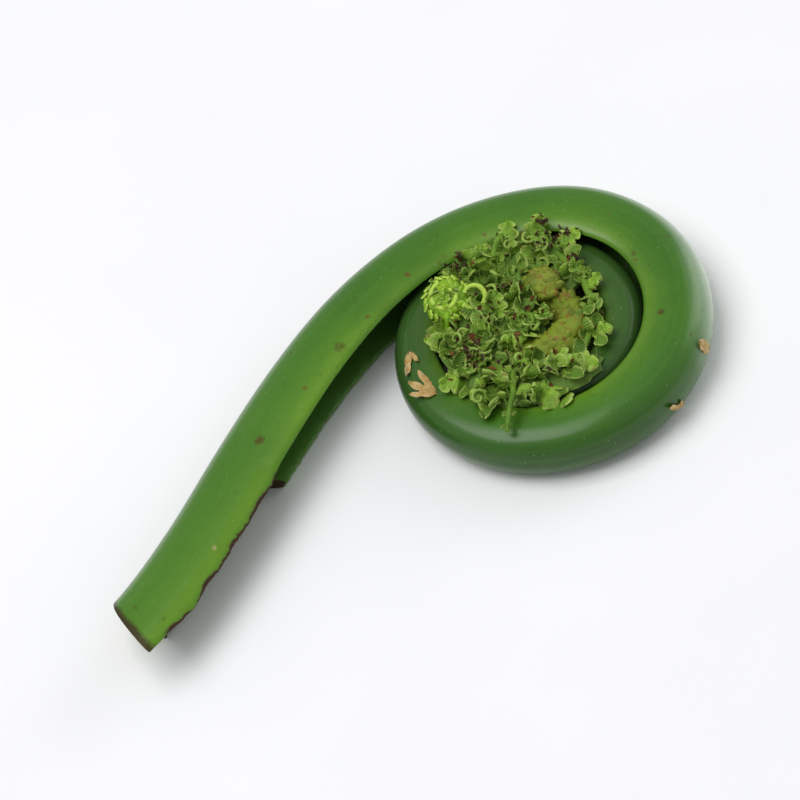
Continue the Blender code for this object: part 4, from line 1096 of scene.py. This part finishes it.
def make_young_pinna(settings):
    """The pale young pinna: a tight round coil of small leaflets, an open loop beside it, and its stalk."""
    shape = Shape("edge", "tint", "run")
    rng = random.Random(YOUNG_SEED)
    centre, radii = YOUNG_CORE
    shape.cushion(centre, [radius * 1.05 for radius in radii], 0.2, 0.12, grain=3.0)
    # The pinna's own rib winds round the coil, and its leaflets lie inside the winding like shingles
    for (spot, radius, thick, turns, yaw, tilt), (share, tightening) in zip(YOUNG_CURLS, YOUNG_WINDING):
        points = coil_points(Vector(spot) + UP * 0.3, radius, turns, lean_of(yaw, tilt), 30, tightening)
        knobbly = [radius * (1.0 + 0.10 * math.sin(index * 2.1))
                   for index, radius in enumerate(thinning(thick * share, points, 0.35))]
        shape.tube(points, knobbly, sides=9, tint=1.0, edge=0.9, run=0.5)
    for circle, (count, reach, length, tilt) in enumerate(YOUNG_ROWS):
        for index in range(count):
            angle = 2 * math.pi * (index + 0.5 * circle) / count + rng.uniform(-0.1, 0.1)
            ray = Vector((math.cos(angle), math.sin(angle), 0.0))
            rise = math.sqrt(max(1.0 - reach * reach * 0.95, 0.0))
            spot = Vector(centre) + ray * (radii[0] * reach * 0.92) + UP * (radii[2] * rise + 0.1)
            normal = (UP * (rise + 0.35) + ray * reach).normalized()
            steep = math.radians(-tilt - rng.uniform(0, 10))
            place = frame_on(spot, ray * 0.35 + UP.cross(ray), normal) @ Matrix.Rotation(steep, 4, "Y")
            shape.blade(place, length * rng.uniform(0.9, 1.2), length * rng.uniform(0.9, 1.15),
                        curl=rng.uniform(-0.9, -0.1), cup=-0.5, tint=rng.uniform(0.3, 1.0), **YOUNG_CUT)
    # The whole coil leans towards the viewer, and the stalk runs down from it
    lean = Matrix.Rotation(YOUNG_LEAN, 4, "X")
    lean = Matrix.Translation(centre) @ lean @ Matrix.Translation(-Vector(centre))
    bmesh.ops.transform(shape.bm, matrix=lean, verts=shape.bm.verts)
    ends, thick = YOUNG_STALK
    points = [bezier(ends, step / YOUNG_STALK_STEPS) for step in range(YOUNG_STALK_STEPS + 1)]
    shape.tube(points, taper(thick, YOUNG_STALK_STEPS, YOUNG_STALK_FINENESS), tint=0.5, edge=0.4, run=0.5)
    skin = leaflet_skin("bright young pinna", settings, "young", "#97b03c", roughness=0.45)
    shape.finish("fiddlehead_young_pinna", [skin], ("young_pinna",))


def make_paper_scales(settings):
    """Four dry papery scales that cling to the stalk's skin, some of them split into fingers."""
    axis = Axis()
    paper = dry_scale_skin(settings)
    for index, (scale, fingers) in enumerate(zip(PAPER_SCALES, SCALE_FINGERS), start=1):
        distance, around, length, width, yaw = scale
        shape = Shape("edge", "tint", "run")
        depth = along(HALF_DEPTH, distance)
        half_width = along(HALF_WIDTH, distance)
        way = axis.way(distance)
        turn = math.radians(around)
        side = Vector((-way.y, way.x, 0.0)) * math.cos(turn)
        up = Vector((0.0, 0.0, math.sin(turn)))
        centre = axis.at(distance)
        foot = Vector((centre.x, centre.y, along(AXIS_HEIGHT, distance))) + side * depth + up * half_width
        normal = (side / depth + up / half_width).normalized()
        outside = math.cos(turn) ** 2
        bend_along = outside * BACK_BEND_ALONG
        bend_round = TOP_BEND_ROUND + outside * (BACK_BEND_ROUND - TOP_BEND_ROUND)
        for finger, (reach, broad, fan) in enumerate(fingers):
            heading = math.radians(yaw + fan)
            share = math.cos(heading) ** 2
            drape = (share * bend_along + (1 - share) * bend_round,
                     (1 - share) * bend_along + share * bend_round)
            place = frame_on(foot + normal * (0.16 + 0.05 * finger), (way.x, way.y, 0.0), normal)
            place @= Matrix.Rotation(heading, 4, "Z")
            shape.blade(place, length * reach, width * broad, curl=0.15, cup=-0.1, wave=0.3,
                        seed=80 + index + finger, drape=drape, **SCALE_CUT)
        shape.finish(f"fiddlehead_paper_scale_{index}", [paper], (f"paper_scale_{index}",))


def make_chaff(settings):
    """Crumbs of dried scale on the leaflets, in four tufts and scattered between."""
    tree = BVHTree.FromObject(bpy.data.objects["fiddlehead_pinnae_upper"],
                              bpy.context.evaluated_depsgraph_get())
    shape = Shape("edge", "tint", "run")
    rng = random.Random(CHAFF_SEED)
    scattered = (*CHAFF_SCATTER, settings.crumbs, SCATTER_BROWN)
    for (middle_x, middle_y), spread, count, brown in (*CHAFF_TUFTS, scattered):
        for _ in range(count):
            x = rng.gauss(middle_x, spread * 0.5)
            y = rng.gauss(middle_y, spread * 0.62)
            yaw, tilt, roll, size, breadth, curl = draw(rng, 6)
            start = (Vector((x, y, ABOVE)) - PLAN_MIDDLE) * METRES_PER_MM
            spot = tree.ray_cast(start, Vector((0, 0, -1)))[0]
            if spot is None:
                continue
            spot = spot / METRES_PER_MM + PLAN_MIDDLE
            place = blade_place(spot, 360 * yaw, 70 * tilt - 10, 80 * roll - 40)
            length = 0.5 + 0.8 * size
            shape.blade(place, length, length * (0.3 + 0.4 * breadth), curl=0.2 + 1.8 * curl, cup=0.6,
                        tint=1.0 if curl < brown else 0.0, **CRUMB_CUT)
    shape.finish("fiddlehead_chaff", [chaff_skin(settings)])


def make_stage(settings):
    """The floor, the soft lights and the camera at the photograph's viewing angle."""
    scene = bpy.context.scene
    mesh = bpy.data.meshes.new("studio_floor")
    bm = bmesh.new()
    bmesh.ops.create_grid(bm, x_segments=1, y_segments=1, size=FLOOR_HALF)
    bm.to_mesh(mesh)
    bm.free()
    mesh.materials.append(floor_paint())
    floor = bpy.data.objects.new("studio_floor", mesh)
    scene.collection.objects.link(floor)
    floor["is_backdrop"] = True

    world = bpy.data.worlds.new("soft_studio")
    scene.world = world
    world.use_nodes = True
    background = world.node_tree.nodes["Background"]
    background.inputs["Color"].default_value = (*settings.room_colour, 1.0)
    background.inputs["Strength"].default_value = settings.room_light
    scene.view_settings.view_transform = "Standard"

    for name, place, size, setting in LIGHTS:
        light = bpy.data.lights.new(name, "AREA")
        light.shape = "RECTANGLE"
        light.size = light.size_y = size
        light.energy = getattr(settings, setting)
        lamp = bpy.data.objects.new(name, light)
        lamp.location = place
        lamp.rotation_euler = (-Vector(place)).to_track_quat("-Z", "Y").to_euler()
        scene.collection.objects.link(lamp)

    # The camera's right, up and back, rolled about the line of sight
    steep = math.radians(CAMERA_ELEVATION)
    roll = math.radians(CAMERA_ROLL)
    back = Vector((0.0, -math.cos(steep), math.sin(steep)))
    level_up = Vector((0.0, math.sin(steep), math.cos(steep)))
    level_right = Vector((1.0, 0.0, 0.0))
    right = math.cos(roll) * level_right - math.sin(roll) * level_up
    up = math.sin(roll) * level_right + math.cos(roll) * level_up
    camera = bpy.data.cameras.new("camera")
    camera.sensor_width = SENSOR_WIDTH
    camera.lens = settings.lens
    camera.clip_end = CAMERA_REACH
    seen = bpy.data.objects.new("camera", camera)
    scene.collection.objects.link(seen)
    # The object's middle in the picture, found from its own box
    low, high = (Vector(corner) for corner in CAD_BOX)
    corners = [Vector((x, y, z)) for x in (low.x, high.x) for y in (low.y, high.y) for z in (low.z, high.z)]
    middle = (low + high) / 2
    across = [(corner - middle).dot(right) for corner in corners]
    height = [(corner - middle).dot(up) for corner in corners]
    middle += right * (max(across) + min(across)) / 2 + up * (max(height) + min(height)) / 2
    middle += right * settings.picture_shift[0] + up * settings.picture_shift[1]
    distance = settings.picture_width * camera.lens / camera.sensor_width
    turn = Matrix((right, up, back)).transposed().to_4x4()
    seen.matrix_world = Matrix.Translation(middle + back * distance) @ turn
    scene.camera = seen


# Add-on

def colour_property(name, description, code):
    """A colour that a user can pick, with a hex code as its default."""
    return FloatVectorProperty(name=name, description=description, subtype="COLOR", default=linear(code)[:3],
                               min=0.0, max=1.0)


class FiddleheadStalkSettings(bpy.types.PropertyGroup):
    """What a user would change on the stalk."""

    relief: FloatProperty(name="Relief", description="Height of the skin's fibres, in millimetres",
                          default=0.05, min=0.0, max=0.5)
    wave: FloatProperty(name="Unevenness", default=0.018, min=0.0, max=0.05,
                        description="How far the skin swells and sinks, as a share of its size")
    back_green: colour_property("Back", "Skin on the outside of the bend", "#3c6a1e")
    side_green: colour_property("Side", "Skin between the back and the top", "#45761f")
    top_green: colour_property("Top", "Skin beside the lips", "#52821d")
    lip_green: colour_property("Lip", "Skin on the lips of the channel", "#6b9426")
    channel_green: colour_property("Channel", "Skin inside the channel", "#386709")
    # Painted shade: the channel's floor is darkest where the groove lies in shadow
    channel_floor_shade: colour_property("Channel floor", "Skin on the floor of the channel", "#204405")


class FiddleheadLeafSettings(bpy.types.PropertyGroup):
    """What a user would change on the leaflets."""

    small_leaflets: IntProperty(name="Small leaflets", description="Small leaflets tried on the upper face",
                                default=380, min=0, max=900)
    small_coils: IntProperty(name="Small coils", description="Tiny coiled rib ends tried on the upper face",
                             default=60, min=0, max=300)
    lower_leaflets: IntProperty(name="Lower leaflets", description="Small leaflets tried on the lower face",
                                default=170, min=0, max=400)
    leaf_deep: colour_property("Leaf shade", "Leaflets deep in the coil", "#48701a")
    leaf_body: colour_property("Leaf", "Leaflets on the coil's faces", "#90b93a")
    leaf_rim: colour_property("Leaf rim", "Rolled rims and veins of the leaflets", "#b6cd6a")
    tip_deep: colour_property("Tip shade", "Grooves of the coiled tip", "#5c7018")
    tip_body: colour_property("Tip", "Leaflets of the coiled tip", "#94a82e")
    tip_rim: colour_property("Tip rim", "Rims of the tip's leaflets", "#b0b650")
    young_deep: colour_property("Young shade", "Depths of the young pinna", "#5f9408")
    young_body: colour_property("Young pinna", "Leaflets of the young pinna", "#9fcf20")
    young_rim: colour_property("Young rim", "Rims of the young pinna's leaflets", "#d2ea6c")


class FiddleheadScaleSettings(bpy.types.PropertyGroup):
    """What a user would change on the papery scales and the chaff."""

    crumbs: IntProperty(name="Crumbs", description="Crumbs of chaff scattered on the leaflets", default=90,
                        min=0, max=600)
    scale_dark: colour_property("Scale shade", "Darkest parts of the papery scales", "#9f7d3e")
    scale_tan: colour_property("Scale", "Body of the papery scales", "#c6a568")
    scale_pale: colour_property("Scale light", "Palest parts of the papery scales", "#dfce9e")
    chaff_dull: colour_property("Chaff, dull", "Dull brown crumbs", "#6b5a44")
    chaff_brown: colour_property("Chaff, brown", "Brown crumbs", "#7c4f2c")


class FiddleheadStageSettings(bpy.types.PropertyGroup):
    """What a user would change on the stage."""

    room_colour: FloatVectorProperty(name="Room colour", description="Colour of the light from all round",
                                     subtype="COLOR", default=(0.97, 0.98, 1.0), min=0.0, max=1.0)
    room_light: FloatProperty(name="Room light", description="Strength of the light from all round",
                              default=0.42)
    window_power: FloatProperty(name="Window light", description="Power of the soft light at the right",
                                default=0.9, unit="POWER")
    overhead_power: FloatProperty(name="Overhead light", description="Power of the soft light above",
                                  default=2.6, unit="POWER")
    lens: FloatProperty(name="Lens", description="Focal length in millimetres", default=230.0, unit="CAMERA")
    picture_width: FloatProperty(name="Picture width", description="Width that the picture takes in",
                                 default=0.094, unit="LENGTH")
    picture_shift: FloatVectorProperty(name="Picture shift", description="How far the view's middle is moved",
                                       size=2, default=(0.0, 0.0), unit="LENGTH")


def settings_of(context):
    """Every group of settings of the scene."""
    return [getattr(context.scene, name) for name in SETTINGS]


class FIDDLEHEAD_OT_stage(bpy.types.Operator):
    """Make the floor, the soft lights and the camera"""

    bl_idname = "fiddlehead.stage"
    bl_label = "Stage"

    def execute(self, context):
        make_stage(context.scene.fiddlehead_stage)
        return {"FINISHED"}


class FIDDLEHEAD_OT_stalk(bpy.types.Operator):
    """Make the channelled stalk with its cut end and torn lip"""

    bl_idname = "fiddlehead.stalk"
    bl_label = "Stalk"

    def execute(self, context):
        make_stalk(context.scene.fiddlehead_stalk)
        return {"FINISHED"}


class FIDDLEHEAD_OT_tip(bpy.types.Operator):
    """Make the coiled tip of the frond"""

    bl_idname = "fiddlehead.tip"
    bl_label = "Frond tip"

    def execute(self, context):
        make_tip(context.scene.fiddlehead_leaves)
        return {"FINISHED"}


class FIDDLEHEAD_OT_pinnae(bpy.types.Operator):
    """Make the leaflets of the upper and lower faces"""

    bl_idname = "fiddlehead.pinnae"
    bl_label = "Leaflets"

    def execute(self, context):
        make_upper_pinnae(context.scene.fiddlehead_leaves)
        make_lower_pinnae(context.scene.fiddlehead_leaves)
        return {"FINISHED"}


class FIDDLEHEAD_OT_young_pinna(bpy.types.Operator):
    """Make the pale young pinna"""

    bl_idname = "fiddlehead.young_pinna"
    bl_label = "Young pinna"

    def execute(self, context):
        make_young_pinna(context.scene.fiddlehead_leaves)
        return {"FINISHED"}


class FIDDLEHEAD_OT_scales(bpy.types.Operator):
    """Make the papery scales and the chaff"""

    bl_idname = "fiddlehead.scales"
    bl_label = "Scales and chaff"

    def execute(self, context):
        make_paper_scales(context.scene.fiddlehead_scales)
        make_chaff(context.scene.fiddlehead_scales)
        return {"FINISHED"}


class FIDDLEHEAD_PT_panel(bpy.types.Panel):
    """Settings and steps of the fiddlehead"""

    bl_idname = "FIDDLEHEAD_PT_panel"
    bl_label = "Fiddlehead"
    bl_space_type = "VIEW_3D"
    bl_region_type = "UI"
    bl_category = "Fiddlehead"

    def draw(self, context):
        for settings in settings_of(context):
            for name in settings.__annotations__:
                self.layout.prop(settings, name)
        for step in STEPS:
            self.layout.operator(step.bl_idname)


SETTINGS = {"fiddlehead_stalk": FiddleheadStalkSettings, "fiddlehead_leaves": FiddleheadLeafSettings,
            "fiddlehead_scales": FiddleheadScaleSettings, "fiddlehead_stage": FiddleheadStageSettings}
STEPS = (FIDDLEHEAD_OT_stage, FIDDLEHEAD_OT_stalk, FIDDLEHEAD_OT_tip, FIDDLEHEAD_OT_pinnae,
         FIDDLEHEAD_OT_young_pinna, FIDDLEHEAD_OT_scales)
CLASSES = (*SETTINGS.values(), *STEPS, FIDDLEHEAD_PT_panel)


def register():
    """Register the classes and put their settings on the scene."""
    for made in CLASSES:
        bpy.utils.register_class(made)
    for name, made in SETTINGS.items():
        setattr(bpy.types.Scene, name, PointerProperty(type=made))


def unregister():
    """Take the settings and the classes away again."""
    for name in SETTINGS:
        delattr(bpy.types.Scene, name)
    for made in reversed(CLASSES):
        bpy.utils.unregister_class(made)


def main():
    """Make every piece in order."""
    register()
    for step in STEPS:
        group, name = step.bl_idname.split(".")
        getattr(getattr(bpy.ops, group), name)()
    visual_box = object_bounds()
    boxes = {"cad": CAD_BOX, "visual": visual_box}
    {name: [[float(value) for value in corner] for corner in box] for name, box in boxes.items()}


if __name__ == "__main__":
    main()
